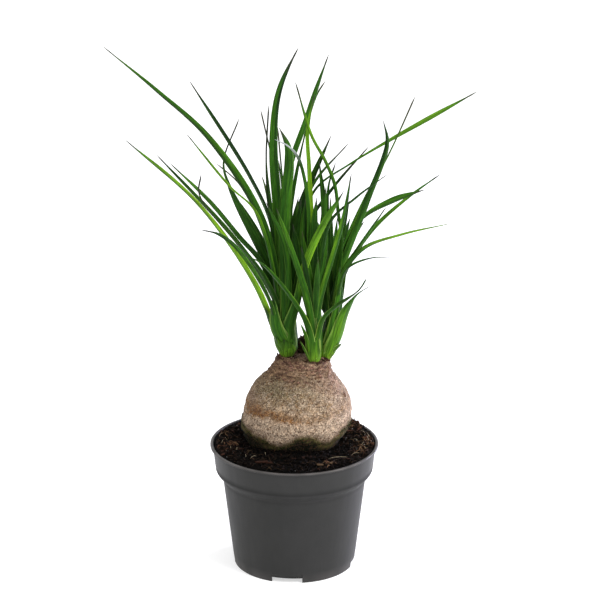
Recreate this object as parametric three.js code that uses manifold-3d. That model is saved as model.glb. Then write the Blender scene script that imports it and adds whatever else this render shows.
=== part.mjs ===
// A potted ponytail palm: a round nursery pot full of soil, a swollen trunk base half sunk in the soil,
// and three heads of long narrow leaves on top of it.
// Millimetres. The origin is on the pot's axis, at the level that the pot stands on.
// +Z is up and -Y is the front.

import * as THREE from "three";
import { mergeVertices } from "three/addons/utils/BufferGeometryUtils.js";
import Module from "manifold-3d";

const wasm = await Module();
wasm.setup();

// Driving dimensions of the pot
const rimRadius = 60;
const potHeight = 90.5;
const footRadius = 43.3;
const wall = 1.2;
const lipThickness = 1.6;
const lipWidth = 2.2;
const lipRounding = 0.4;
const collarTopRadius = 58.4;
const collarLowRadius = 56.3;
const collarLowHeight = 72.5;
const bodyTopRadius = 51;
const bodyTopHeight = 64;
const floorUnderside = 4.6;
const floorThickness = 1.4;
const potSides = 40;
const drainHoleRadius = 3.4;
const drainHoleCircle = 29;
const drainHoleCount = 8;
const postSides = 10;
const notchCount = 4;
const notchWidth = 22;
const notchHeight = 3.8;
const firstNotchDegrees = -97;

// Driving dimensions of the soil
const clearance = 0.3;
const soilLevel = 88.8;
const frontMound = { middle: [-2, -24], rise: 3.9, spread: 17 };
const backHeap = { middle: [40, 34], rise: 2.6, spread: 15 };
const soilLumps = 0.5;
const lumpLengths = [4.1, 3.7, 2.3, 5.2];
const soilShares = [0.92, 0.84, 0.76, 0.68, 0.6, 0.5];
const trunkClearance = 0.4;

// Driving dimensions of the trunk base
const trunkDepthRatio = 0.92;
const trunkMiddleDepth = 10;
const trunkSides = 30;
const trunkLumps = 0.012;
const neckTop = 152.5;
const seatDepth = 3;
const seatPlay = 0.75;
const seatTop = neckTop + 9;
const rootCount = 6;
const rootRadius = 4.2;
const rootTaper = 0.65;
const rootLength = 46;
const shortRootShare = 0.8;
const rootStart = { out: 6, up: 8 };
const rootSpread = { knee: 10, tip: 13, kneeDrop: 0.45 };
const rootSides = 7;

// Driving dimensions of the leaves
const bladeThickness = 0.9;
const bladeStep = 24;
const outerSheathWidth = 11;
const innerSheathWidth = 6.5;
const sheathReach = 26;
const shortSheathShare = 0.45;
const outerRoot = 7;
const innerRoot = 15;
const claspSpan = 15;
const outerOffsets = { root: 2.2, side: 4.6 };
const innerOffsets = { root: 0.8, side: 2.6 };
const straightening = 0.12;
const foldDepth = 0.16;
const tipWidth = 0.9;
const tipThinning = 0.25;
const goldenShare = 0.618034;
const fusedDetail = 0.03;

const degree = Math.PI / 180;

// How a leaf's width runs, as factors at even steps from its base to its tip. A slim leaf draws out to a
// long point, an even one keeps its width nearly to the tip, and a late one shows its edge lower down and
// its face further out.
const forms = {
  plain: [1, 1, 1, 0.98, 0.94, 0.86, 0.74, 0.5, 0],
  slim: [1, 1, 1, 1, 0.95, 0.75, 0.33, 0.16, 0],
  even: [1, 1, 1, 1, 1, 0.98, 0.92, 0.75, 0],
  late: [1, 1, 0.9, 0.7, 0.45, 0.5, 0.9, 1, 0],
};

// Closed rings of the trunk base, from the bottom up: height, middle in X, and half width.
const trunkRings = [
  [60, 0, 13],
  [66, -0.5, 20.5],
  [74, -1, 27],
  [82, -1, 31],
  [88, -0.8, 32.8],
  [93, -0.2, 34.8],
  [98, 0.8, 37.4],
  [103, 1.5, 38.9],
  [109, 2, 38.9],
  [116, 2.4, 37.7],
  [123, 2.5, 35.6],
  [130, 2.6, 32.2],
  [136, 3.1, 27.4],
  [140, 4, 23.6],
  [143, 4.6, 21.4],
  [144.5, 5, 21.6],
  [147, 5.4, 19.6],
  [148.5, 5.6, 19.8],
  [151, 5.8, 18.4],
  [neckTop, 5.9, 17],
];

// The dark stub of the first stem, which was cut off: it stands between the heads.
const cutStem = { middle: [6, 19], radius: 4.6, top: 163, slope: 0.35, taper: 0.12, sides: 10 };

// The heads: where each one's axis starts, where it points, and its girth, a factor on the radius above
// the seat. Below them is the radius of the clasped base by height.
const heads = {
  left: { base: [-4.4, 10, neckTop - seatDepth], top: [-8, 10, 200], girth: 1.2 },
  front: { base: [14, 0.5, neckTop - seatDepth], top: [14.5, -6, 200], girth: 0.85 },
  right: { base: [22.5, 8, neckTop - seatDepth], top: [30, 11, 200], girth: 1 },
};
const headRings = [
  [0, 4.2],
  [3, 4.8],
  [8, 5.8],
  [16, 6.5],
  [30, 6.6],
  [46, 5.2],
  [60, 2.6],
  [68, 1],
];
const headSides = 12;

// The leaves that the picture shows: the outer ones, which clasp the head's base, and the inner ones,
// which come out of it higher up. Each one has the compass direction that its outer face looks to, in
// degrees from +X, its width, and the points that it passes on the way from its head to its tip, which is
// the last one. The form is plain where none is given. Some also say on which side of the head they stand,
// where that is not the way that they face, or how wide their sheath is.
const seenLeaves = {
  left: {
    outer: [
      {
        faces: 115,
        wide: 7,
        form: "slim",
        way: [[-16, 20, 209], [-46, 40, 269], [-50, 45, 285], [-39, 56, 314]],
      },
      {
        faces: 245,
        stands: 195,
        wide: 5.2,
        form: "even",
        sheath: 8,
        way: [[-17.5, 3, 184], [-29, -10, 216], [-65, -40, 280], [-112, -66, 333]],
      },
      {
        faces: 255,
        stands: 215,
        wide: 4.4,
        form: "even",
        sheath: 8,
        way: [[-17, -10, 197], [-39, -62, 255.5], [-50, -80, 271.5], [-61, -94, 279]],
      },
      {
        faces: 282,
        wide: 8.4,
        form: "even",
        way: [[-7, -4, 247], [-5.6, -9, 274], [-3.1, -13, 300], [-4.2, -15, 314], [-10.3, -17, 328]],
      },
      {
        faces: 75,
        wide: 5,
        form: "late",
        way: [[3, 26, 237], [15, 32, 269], [39, 40, 285], [130, 72, 329.5]],
      },
      {
        faces: 285,
        wide: 5.6,
        form: "even",
        way: [[2, -4, 198], [8, -16, 229], [18, -24, 256], [34, -34, 288]],
      },
      { faces: 270, wide: 4.8, way: [[-4, 0, 198], [-6, -10, 239], [-19, -22, 276]] },
      { faces: 225, stands: 205, wide: 5, way: [[-16, 4.5, 176], [-21, -2, 194]] },
      { faces: 250, wide: 7, way: [[-12.5, 0.5, 175], [-15, -10, 204]] },
      { faces: 80, wide: 8.5, way: [[1, 26, 219], [7, 44, 265]] },
    ],
    inner: [
      { faces: 250, wide: 6, way: [[-22.5, -2, 257], [-58, -11, 318], [-92, -19, 353], [-128, -28, 387]] },
      { faces: 130, wide: 3.6, form: "even", way: [[-17, 28, 246], [-31, 37, 276], [-74, 62, 340]] },
      { faces: 240, wide: 3, form: "even", way: [[-26, -18, 267], [-44, -28, 289], [-72, -48, 332]] },
      { faces: 115, wide: 3, way: [[-23, 45, 235], [-39, 66, 262], [-56, 80, 274]] },
      { faces: 250, wide: 4.8, way: [[-21, -2, 213], [-45, -12, 251], [-93, -30, 312]] },
      { faces: 125, wide: 4.4, way: [[-23, 15, 220], [-38, 19, 237], [-59, 24, 262], [-87, 29, 289]] },
      {
        faces: 250,
        wide: 3.4,
        form: "slim",
        way: [[-22, -10, 220], [-59, -44, 279], [-64, -49, 291], [-62, -56, 306]],
      },
      { faces: 120, wide: 5, way: [[-19, 27, 223], [-38, 44, 254], [-44, 48, 261]] },
      { faces: 260, wide: 4.2, form: "slim", way: [[-14, 12, 238], [-19.4, 19, 290], [-17.7, 24, 332]] },
      { faces: 110, wide: 2.8, form: "slim", way: [[-12, 49, 264], [-24, 76, 315]] },
      {
        faces: 278,
        wide: 7.2,
        way: [
          [-11, 1, 260],
          [-14, -3, 308],
          [-12.5, -5, 338],
          [-9, -6, 354],
          [-3.8, -7, 367],
          [3, -8, 381],
        ],
      },
      { faces: 95, wide: 2.8, form: "slim", way: [[-6, 48, 234], [-12, 94, 297]] },
      {
        faces: 290,
        wide: 4.4,
        form: "even",
        way: [
          [-6, 14, 241],
          [-5.5, 17, 266],
          [-2.4, 21, 290],
          [8.6, 27, 321],
          [15.5, 31, 342],
          [24, 34, 366],
        ],
      },
      { faces: 80, wide: 3.4, form: "slim", way: [[-2, 32, 258], [15, 52, 330], [22, 58, 341]] },
      { faces: 70, wide: 6.2, way: [[-4, 24, 230], [4.6, 31, 257], [26, 44, 305]] },
      { faces: 60, wide: 3.4, way: [[1, 38, 230], [13, 60, 263], [39, 84, 288]] },
      { faces: 60, wide: 3.6, way: [[5, 29, 235], [27, 43, 266], [53, 58, 293]] },
      { faces: 105, wide: 3, way: [[-7, 37, 252], [-11, 50, 285]] },
      { faces: 270, wide: 8, way: [[-1, 6, 226], [5, 6, 270]] },
      { faces: 270, wide: 7.5, way: [[-0.5, 9, 205], [-0.5, 13, 234], [1, 16, 255], [3, 18, 268]] },
      { faces: 275, wide: 7, way: [[3, 17, 215], [6, 24, 240], [9, 30, 260]] },
    ],
  },
  front: {
    outer: [
      {
        faces: 250,
        wide: 4.6,
        sheath: 7,
        way: [[8, -12, 186], [-10, -32, 221], [-24, -49, 242], [-36, -60, 251]],
      },
      { faces: 262, wide: 5, sheath: 8, way: [[9, -14, 203], [-1, -27, 241], [-12, -42, 278]] },
      { faces: 290, wide: 5, sheath: 7, way: [[17, -9, 194], [34, -23, 265], [39, -30, 299]] },
      {
        faces: 295,
        wide: 4.2,
        form: "slim",
        sheath: 5,
        way: [[20, -17, 189], [28, -29, 202], [44, -53, 223], [49, -66, 236]],
      },
      { faces: 225, wide: 2.6, way: [[8, -9, 173], [6.5, -12, 179], [4, -15, 185]] },
      { faces: 225, wide: 2.4, way: [[6, -9, 167], [3.7, -11, 171.5]] },
    ],
    inner: [
      {
        faces: 95,
        wide: 3.8,
        form: "even",
        way: [[13, 2, 240], [11.7, 4, 266], [10.3, 6, 294], [9.3, 8, 319], [14, 10, 344]],
      },
      {
        faces: 300,
        wide: 3,
        form: "even",
        way: [[19, -13, 224], [25, -20, 261], [42, -26, 280], [64, -34, 300]],
      },
      { faces: 270, wide: 6.4, way: [[17, -5, 228], [20, -8, 255], [22, -10, 284]] },
      { faces: 265, wide: 8, way: [[10, -3, 222], [7, -7, 248], [8, -9, 276]] },
      { faces: 272, wide: 8, way: [[13.3, -9, 228], [14, -11, 257], [15.6, -13, 277]] },
      { faces: 280, wide: 6, way: [[15, -11, 202], [20, -14, 230], [23, -16, 257]] },
      { faces: 265, wide: 7.5, way: [[6.2, -2, 212], [2, -5, 236], [-1, -7, 256]] },
      { faces: 268, wide: 7, way: [[11, -9, 212], [7.5, -12, 235], [5.5, -14, 253]] },
      {
        faces: 262,
        wide: 3.2,
        form: "even",
        way: [
          [12, -5, 215],
          [10.3, -8, 241],
          [9.6, -12, 271],
          [6.5, -15, 293.5],
          [2.4, -17, 307],
          [-4, -19, 315],
          [-13, -20, 320],
        ],
      },
    ],
  },
  right: {
    outer: [
      {
        faces: 295,
        wide: 4,
        form: "late",
        way: [[32, -5, 211], [37.1, -10, 226], [49, -16, 241.5], [73, -27, 254], [105, -44, 267.5]],
      },
      {
        faces: 300,
        wide: 9,
        form: "slim",
        way: [[30.3, 0, 169], [35, -3, 187], [43.2, -12, 205], [54, -18, 215]],
      },
      { faces: 320, wide: 5, sheath: 6, way: [[30.5, 4.5, 160.8], [33.3, 3.8, 164]] },
      { faces: 285, wide: 3.8, way: [[27.5, -2, 180], [30.5, -6, 200], [32, -9, 225]] },
    ],
    inner: [
      {
        faces: 255,
        wide: 3.2,
        form: "even",
        way: [
          [33, -1, 240],
          [30.4, -3, 263],
          [28, -5, 283],
          [21, -8, 302],
          [12, -11, 320],
          [1, -16, 359],
        ],
      },
      {
        faces: 75,
        wide: 3,
        form: "even",
        way: [[35, 23, 227], [49, 31, 260], [68, 41, 295], [85, 52, 331]],
      },
      { faces: 290, wide: 5.4, way: [[33, 2, 218], [50, -2, 269], [64, -6, 313], [61, -8, 330]] },
      {
        faces: 65,
        wide: 3.6,
        way: [[32, 13, 203], [41, 17, 223], [58, 24, 245], [81, 31, 264], [103, 36, 279]],
      },
      {
        faces: 290,
        wide: 5,
        form: "late",
        way: [[35, 5, 233], [47, 4, 256], [67, 3, 269], [91, 2, 278]],
      },
      { faces: 290, wide: 3.8, way: [[31, -2, 206], [34.7, -6, 222], [44, -12, 239], [63, -26, 274]] },
      {
        faces: 285,
        wide: 2,
        form: "even",
        way: [[31, -9, 207], [33.5, -20, 222], [39, -36, 235], [53, -53, 246], [70, -74, 253]],
      },
      { faces: 95, wide: 6, way: [[21, 19, 212], [21.3, 27, 253], [17.5, 34, 290]] },
      { faces: 85, wide: 3, way: [[24, 19, 243], [24, 22, 274], [29, 24, 291]] },
      { faces: 75, wide: 5, way: [[32, 27, 226], [39, 38, 259]] },
      { faces: 268, wide: 8, way: [[21.6, 5, 194], [20.8, 7, 224], [21.5, 8, 252]] },
    ],
  },
};

// The leaves that only the other sides show, by a rule: they fan out over the arc that each head leaves
// them, and arch over under their own weight.
const hiddenLeaves = {
  left: { count: 7, from: 84, to: 112, shortest: 100, longest: 130, leanEnd: 84 },
  front: { count: 2, from: 250, to: 290, shortest: 60, longest: 80, leanEnd: 30 },
  right: { count: 5, from: 68, to: 104, shortest: 80, longest: 105, leanEnd: 78 },
};
const hiddenLean = { start: 8, startSpread: 8, endShare: 0.55, endSpread: 0.6 };
const hiddenWidth = { least: 3.6, spread: 3 };
const hiddenOffset = 4;
const hiddenSteps = 4;
const firstSeed = 4711;

// Random numbers from 0 to 1, the same ones on every run.
const randomFactor = 16807;
const randomModulus = 2147483647;
let seed = firstSeed;
function random() {
  seed = (seed * randomFactor) % randomModulus;
  return seed / randomModulus;
}

// A closed solid from any geometry whose faces meet, with the corners that coincide made one.
function solidFrom(geometry) {
  const bare = geometry.clone();
  bare.deleteAttribute("normal");
  bare.deleteAttribute("uv");
  const merged = mergeVertices(bare, 1e-4);
  const corners = [];
  for (let i = 0; i < merged.index.count; i += 3) {
    const [a, b, c] = [0, 1, 2].map((k) => merged.index.getX(i + k));
    if (a !== b && b !== c && c !== a) corners.push(a, b, c);
  }
  return new wasm.Manifold(
    new wasm.Mesh({
      numProp: 3,
      vertProperties: new Float32Array(merged.attributes.position.array),
      triVerts: new Uint32Array(corners),
    }),
  );
}

function meshFrom(name, solid, material) {
  const { vertProperties, triVerts } = solid.getMesh();
  const geometry = new THREE.BufferGeometry();
  geometry.setAttribute("position", new THREE.BufferAttribute(vertProperties, 3));
  geometry.setIndex(new THREE.BufferAttribute(triVerts, 1));
  geometry.computeVertexNormals();
  const mesh = new THREE.Mesh(geometry, material);
  mesh.name = name;
  return mesh;
}

// A skin over rings of equally many points, listed counterclockwise seen against the way the rings go,
// with a fan on each end. The second half of each ring is split the other way, so that both faces of a
// thin blade match.
function skinOver(rings) {
  const sides = rings[0].length;
  const points = rings.flat();
  const corners = [];
  for (let ring = 0; ring + 1 < rings.length; ring++) {
    for (let side = 0; side < sides; side++) {
      const next = (side + 1) % sides;
      const [a, b] = [ring * sides + side, ring * sides + next];
      const [c, d] = [b + sides, a + sides];
      if (side < sides / 2) corners.push(a, b, c, a, c, d);
      else corners.push(a, b, d, b, c, d);
    }
  }
  for (const [ring, facesBack] of [[0, true], [rings.length - 1, false]]) {
    const middle = new THREE.Vector3();
    for (const point of rings[ring]) middle.addScaledVector(point, 1 / sides);
    points.push(middle);
    for (let side = 0; side < sides; side++) {
      const pair = [ring * sides + side, ring * sides + ((side + 1) % sides)];
      if (facesBack) pair.reverse();
      corners.push(...pair, points.length - 1);
    }
  }
  const geometry = new THREE.BufferGeometry().setFromPoints(points);
  geometry.setIndex(corners);
  return solidFrom(geometry);
}

function lathe(profile) {
  const points = profile.map(([radius, height]) => new THREE.Vector2(radius, height));
  return solidFrom(new THREE.LatheGeometry(points, potSides).rotateX(Math.PI / 2));
}

function post(radius, low, high, x, y) {
  const geometry = new THREE.CylinderGeometry(radius, radius, high - low, postSides).rotateX(Math.PI / 2);
  return solidFrom(geometry.translate(x, y, (low + high) / 2));
}

// The one body of a fused solid, with any hollow that the fusing sealed inside it filled.
function wholeBody(solid) {
  return solid.decompose().sort((one, other) => other.volume() - one.volume())[0];
}

// The pot's outer radius by height, from the foot to the lip: straight body, rounded shoulder and
// straight collar.
function potRadius(height) {
  if (height <= bodyTopHeight) {
    return THREE.MathUtils.mapLinear(height, 0, bodyTopHeight, footRadius, bodyTopRadius);
  }
  if (height <= collarLowHeight) {
    const share = THREE.MathUtils.smoothstep(height, bodyTopHeight, collarLowHeight);
    return THREE.MathUtils.lerp(bodyTopRadius, collarLowRadius, share);
  }
  return THREE.MathUtils.mapLinear(height, collarLowHeight, potHeight, collarLowRadius, collarTopRadius);
}

const shoulderHeights = [0, 1 / 3, 2 / 3, 1].map((share) =>
  THREE.MathUtils.lerp(bodyTopHeight, collarLowHeight, share),
);

function potProfile() {
  const lipUnderside = potHeight - lipThickness;
  const innerRim = collarTopRadius - wall;
  const innerLip = rimRadius - lipWidth;
  const floorTop = floorUnderside + floorThickness;
  return [
    [0, floorUnderside],
    [potRadius(floorUnderside) - wall, floorUnderside],
    [footRadius - wall, 0],
    [footRadius - lipRounding, 0],
    [footRadius, lipRounding],
    ...shoulderHeights.map((height) => [potRadius(height), height]),
    [potRadius(lipUnderside), lipUnderside - lipRounding],
    [rimRadius - lipRounding, lipUnderside],
    [rimRadius, lipUnderside + lipRounding],
    [rimRadius, potHeight - lipRounding],
    [rimRadius - lipRounding, potHeight],
    [innerLip + lipRounding, potHeight],
    [innerLip, potHeight - lipRounding],
    [innerRim, lipUnderside - lipRounding],
    ...shoulderHeights.map((height) => [potRadius(height) - wall, height]).reverse(),
    [potRadius(floorTop) - wall, floorTop],
    [0, floorTop],
  ];
}

function makePot() {
  let pot = lathe(potProfile());
  for (let hole = 0; hole < drainHoleCount; hole++) {
    const angle = ((hole + 0.5) / drainHoleCount) * 2 * Math.PI;
    const [x, y] = [drainHoleCircle * Math.cos(angle), drainHoleCircle * Math.sin(angle)];
    pot = pot.subtract(post(drainHoleRadius, 0, 2 * floorUnderside, x, y));
  }
  for (let notch = 0; notch < notchCount; notch++) {
    const cutter = new THREE.BoxGeometry(footRadius / 2, notchWidth, 2 * notchHeight);
    cutter.translate(footRadius, 0, 0);
    cutter.rotateZ((firstNotchDegrees + (notch / notchCount) * 360) * degree);
    pot = pot.subtract(solidFrom(cutter));
  }
  return pot;
}

// The soil's surface: a mound against the trunk's front, a heap at the back right, and shallow lumps.
function soilHeight(x, y) {
  const swell = ({ middle, rise, spread }) =>
    rise * Math.exp(-((x - middle[0]) ** 2 + (y - middle[1]) ** 2) / (2 * spread ** 2));
  const [a, b, c, d] = lumpLengths;
  const lumps = Math.sin(x / a + 1) * Math.sin(y / b) + Math.sin(x / c - y / d);
  return soilLevel + swell(frontMound) + swell(backHeap) + soilLumps * lumps;
}

function soilRing(radiusOf, heightOf) {
  return Array.from({ length: potSides }, (_, side) => {
    const angle = (side / potSides) * 2 * Math.PI;
    const [x, y] = [Math.cos(angle), Math.sin(angle)];
    const edge = collarTopRadius - 2 * wall;
    const height = heightOf(x * edge, y * edge);
    const radius = radiusOf(height);
    return new THREE.Vector3(x * radius, y * radius, height);
  });
}

function makeSoil() {
  const inside = (height) => potRadius(height) - wall - clearance;
  const floor = floorUnderside + floorThickness + clearance;
  const rings = [floor, ...shoulderHeights].map((level) => soilRing(inside, () => level));
  rings.push(soilRing(inside, soilHeight));
  for (const share of soilShares) {
    const top = rings[shoulderHeights.length + 1];
    rings.push(
      top.map((point) => {
        const [x, y] = [point.x * share, point.y * share];
        return new THREE.Vector3(x, y, soilHeight(x, y));
      }),
    );
  }
  return skinOver(rings).subtract(trunkBody(trunkClearance));
}

// One ring of the trunk base. It is a little flattened from front to back, and shallow lumps run over it.
function trunkRing([height, middle, halfWidth], grow) {
  return Array.from({ length: trunkSides }, (_, side) => {
    const angle = (side / trunkSides) * 2 * Math.PI;
    const lumps = Math.sin(3 * angle + height / 9) + Math.sin(5 * angle - height / 6 + 2);
    const radius = halfWidth * (1 + trunkLumps * lumps) + grow;
    const x = middle + radius * Math.cos(angle);
    const y = trunkMiddleDepth + trunkDepthRatio * radius * Math.sin(angle);
    return new THREE.Vector3(x, y, height);
  });
}

// A fleshy root: it leaves the underside of the trunk base and bends down to a blunt tip.
function rootSolid(index, grow) {
  const angle = ((index + 0.4) / rootCount) * 2 * Math.PI;
  const out = new THREE.Vector3(Math.cos(angle), Math.sin(angle), 0);
  const start = new THREE.Vector3(0, trunkMiddleDepth, trunkRings[0][0] + rootStart.up);
  start.addScaledVector(out, rootStart.out);
  const down = rootLength * (index % 2 ? 1 : shortRootShare);
  const knee = start.clone().addScaledVector(out, rootSpread.knee);
  knee.z = start.z - rootSpread.kneeDrop * down;
  const tip = start.clone().addScaledVector(out, rootSpread.tip);
  tip.z = start.z - down - grow;
  const path = new THREE.QuadraticBezierCurve3(start, knee, tip);
  const rings = [0, 0.25, 0.5, 0.75, 1].map((share) => {
    const point = path.getPoint(share);
    const radius = rootRadius * (1 - rootTaper * share) + grow;
    return Array.from({ length: rootSides }, (_, side) => {
      const turn = (-side / rootSides) * 2 * Math.PI;
      return new THREE.Vector3(radius * Math.cos(turn), radius * Math.sin(turn), 0).add(point);
    });
  });
  return skinOver(rings);
}

function trunkBody(grow) {
  const rings = trunkRings.map((ring) => trunkRing(ring, grow));
  rings[0].forEach((point) => point.setZ(point.z - grow));
  let body = skinOver(rings);
  for (let index = 0; index < rootCount; index++) body = body.add(rootSolid(index, grow));
  return body;
}

function cutStemSolid() {
  const { middle, top, slope, sides } = cutStem;
  const rings = [0, 0.6, 1].map((share) => {
    const height = THREE.MathUtils.lerp(neckTop - seatDepth, top, share);
    const radius = cutStem.radius * (1 - cutStem.taper * share);
    return Array.from({ length: sides }, (_, side) => {
      const angle = (side / sides) * 2 * Math.PI;
      const [x, y] = [radius * Math.cos(angle), radius * Math.sin(angle)];
      return new THREE.Vector3(middle[0] + x, middle[1] + y, height + share * slope * x);
    });
  });
  return skinOver(rings);
}

function makeTrunk() {
  let trunk = trunkBody(0).add(cutStemSolid());
  const seatRadius = headRings[1][1] + seatPlay;
  for (const { base } of Object.values(heads)) {
    trunk = trunk.subtract(post(seatRadius, base[2] - clearance, seatTop, base[0], base[1]));
  }
  return trunk;
}

// The head's clasped base, which the leaves stand out of.
function headCore(head) {
  const [base, top] = [new THREE.Vector3(...head.base), new THREE.Vector3(...head.top)];
  const rings = headRings.map(([rise, plainRadius]) => {
    const middle = base.clone().lerp(top, rise / (top.z - base.z));
    const radius = plainRadius * (rise > seatDepth ? head.girth : 1);
    return Array.from({ length: headSides }, (_, side) => {
      const angle = (side / headSides) * 2 * Math.PI;
      return new THREE.Vector3(radius * Math.cos(angle), radius * Math.sin(angle), 0).add(middle);
    });
  });
  return skinOver(rings);
}

// The course of a leaf: out of the head's base, up along its side, and on through the leaf's own points.
function leafCourse(head, leaf) {
  const [base, top] = [new THREE.Vector3(...head.base), new THREE.Vector3(...head.top)];
  const compass = (leaf.stands ?? leaf.faces) * degree;
  const out = new THREE.Vector3(Math.cos(compass), Math.sin(compass), 0);
  const way = leaf.way.map((point) => new THREE.Vector3(...point));
  const along = (height) => base.clone().lerp(top, height / (top.z - base.z));
  const start = leaf.outer ? outerRoot : innerRoot;
  const offsets = leaf.outer ? outerOffsets : innerOffsets;
  const rise = Math.min(start + claspSpan, (start + way[0].z - base.z) / 2);
  const root = along(start).addScaledVector(out, offsets.root);
  const side = along(rise).addScaledVector(out, offsets.side * head.girth).lerp(way[0], straightening);
  return new THREE.CatmullRomCurve3([root, side, ...way], false, "centripetal");
}

// The share of its full width that a leaf of that form has there.
function formFactor(form, share) {
  const factors = forms[form];
  const place = share * (factors.length - 1);
  const step = Math.min(Math.floor(place), factors.length - 2);
  return THREE.MathUtils.lerp(factors[step], factors[step + 1], place - step);
}

// A leaf: four-cornered sections, folded a little along the middle, from a clasping base to a fine tip.
function leafSolid(head, leaf) {
  const course = leafCourse(head, leaf);
  const length = course.getLength();
  const steps = leaf.way.length + Math.round(length / bladeStep);
  const sheathWidth = leaf.sheath ?? (leaf.outer ? outerSheathWidth : innerSheathWidth);
  const reach = Math.min(sheathReach, length * shortSheathShare);
  const rings = [];
  for (let step = 0; step <= steps; step++) {
    const share = step / steps;
    const point = course.getPointAt(share);
    const ahead = course.getTangentAt(share);
    const clasp = Math.exp(-(((share * length) / reach) ** 2));
    const facing = THREE.MathUtils.lerp(leaf.faces, leaf.stands ?? leaf.faces, clasp) * degree;
    const across = new THREE.Vector3(-Math.sin(facing), Math.cos(facing), 0);
    across.addScaledVector(ahead, -across.dot(ahead)).normalize();
    const outward = across.clone().cross(ahead);
    const full = leaf.wide + Math.max(0, sheathWidth - leaf.wide) * clasp;
    const width = Math.max(tipWidth, full * formFactor(leaf.form ?? "plain", share));
    const fold = width * foldDepth * (1 + clasp);
    const thickness = bladeThickness * (1 - tipThinning * share);
    rings.push([
      point.clone().addScaledVector(across, -width / 2).addScaledVector(outward, -fold),
      point.clone().addScaledVector(outward, thickness / 2),
      point.clone().addScaledVector(across, width / 2).addScaledVector(outward, -fold),
      point.clone().addScaledVector(outward, -thickness / 2),
    ]);
  }
  return skinOver(rings);
}

// The next leaf of a head's hidden side.
function ruleLeaf(head, rule, index) {
  const share = (index * goldenShare) % 1;
  const compass = (rule.from + (rule.to - rule.from) * share) * degree;
  const length = THREE.MathUtils.lerp(rule.shortest, rule.longest, random());
  const leanStart = (hiddenLean.start + hiddenLean.startSpread * random()) * degree;
  const leanEnd = rule.leanEnd * (hiddenLean.endShare + hiddenLean.endSpread * random()) * degree;
  const out = new THREE.Vector3(Math.cos(compass), Math.sin(compass), 0);
  const point = new THREE.Vector3(...head.base).lerp(new THREE.Vector3(...head.top), 0.5);
  point.addScaledVector(out, hiddenOffset);
  const way = [];
  const reach = length / hiddenSteps;
  for (let step = 1; step <= hiddenSteps; step++) {
    const lean = THREE.MathUtils.lerp(leanStart, leanEnd, (step - 0.5) / hiddenSteps);
    point.addScaledVector(out, reach * Math.sin(lean));
    point.z += reach * Math.cos(lean);
    way.push(point.toArray());
  }
  const wide = hiddenWidth.least + hiddenWidth.spread * random();
  return { faces: compass / degree, wide, way, outer: index % 2 === 0 };
}

function makeHead(name) {
  const head = heads[name];
  const rule = hiddenLeaves[name];
  const { outer, inner } = seenLeaves[name];
  const leaves = [...outer.map((leaf) => ({ ...leaf, outer: true })), ...inner];
  for (let index = 0; index < rule.count; index++) leaves.push(ruleLeaf(head, rule, index));
  const joined = wasm.Manifold.union([headCore(head), ...leaves.map((leaf) => leafSolid(head, leaf))]);
  return wholeBody(joined.simplify(fusedDetail));
}

const potPlastic = new THREE.MeshStandardMaterial({ color: 0x4a4a49, roughness: 0.55, metalness: 0 });
const pottingSoil = new THREE.MeshStandardMaterial({ color: 0x1d1612, roughness: 1, metalness: 0 });
const trunkBark = new THREE.MeshStandardMaterial({ color: 0xb49a7d, roughness: 0.9, metalness: 0 });
const leafGreen = new THREE.MeshStandardMaterial({ color: 0x2f6b1c, roughness: 0.5, metalness: 0 });

const plant = new THREE.Group();
plant.add(meshFrom("pot", makePot(), potPlastic));
plant.add(meshFrom("soil", makeSoil(), pottingSoil));
plant.add(meshFrom("caudex", makeTrunk(), trunkBark));
plant.add(meshFrom("head_left", makeHead("left"), leafGreen));
plant.add(meshFrom("head_front", makeHead("front"), leafGreen));
plant.add(meshFrom("head_right", makeHead("right"), leafGreen));

export default plant;
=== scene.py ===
"""A potted ponytail palm: a dark plastic nursery pot full of soil, a swollen corky trunk base half sunk
in the soil, and three heads of long narrow leaves on top of it.

Lengths are in millimetres up to add_piece, which turns them into the frame's metres. The origin is on
the pot's axis at the level that the pot stands on, +Z is up and -Y is the front. Compass directions are
degrees that count from +X towards +Y, and a turn is the same in radians.
"""

import math
import random
from typing import NamedTuple

import bmesh
import bpy
import numpy as np
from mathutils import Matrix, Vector, noise
from mathutils.geometry import delaunay_2d_cdt


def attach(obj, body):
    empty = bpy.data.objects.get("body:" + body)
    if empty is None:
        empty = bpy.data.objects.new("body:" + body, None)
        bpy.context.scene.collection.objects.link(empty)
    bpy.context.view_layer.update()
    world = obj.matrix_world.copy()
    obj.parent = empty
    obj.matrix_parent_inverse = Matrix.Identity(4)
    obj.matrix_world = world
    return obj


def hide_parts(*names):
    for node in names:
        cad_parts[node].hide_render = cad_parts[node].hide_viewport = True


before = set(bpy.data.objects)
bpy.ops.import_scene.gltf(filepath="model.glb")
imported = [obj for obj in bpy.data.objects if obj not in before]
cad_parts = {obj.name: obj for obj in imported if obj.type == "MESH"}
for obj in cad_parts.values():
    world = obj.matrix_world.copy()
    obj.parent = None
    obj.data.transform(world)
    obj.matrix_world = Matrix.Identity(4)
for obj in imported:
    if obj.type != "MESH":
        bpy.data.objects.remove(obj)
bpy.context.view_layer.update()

MM = 0.001
DEGREE = math.pi / 180
FULL_TURN = 2 * math.pi

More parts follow.
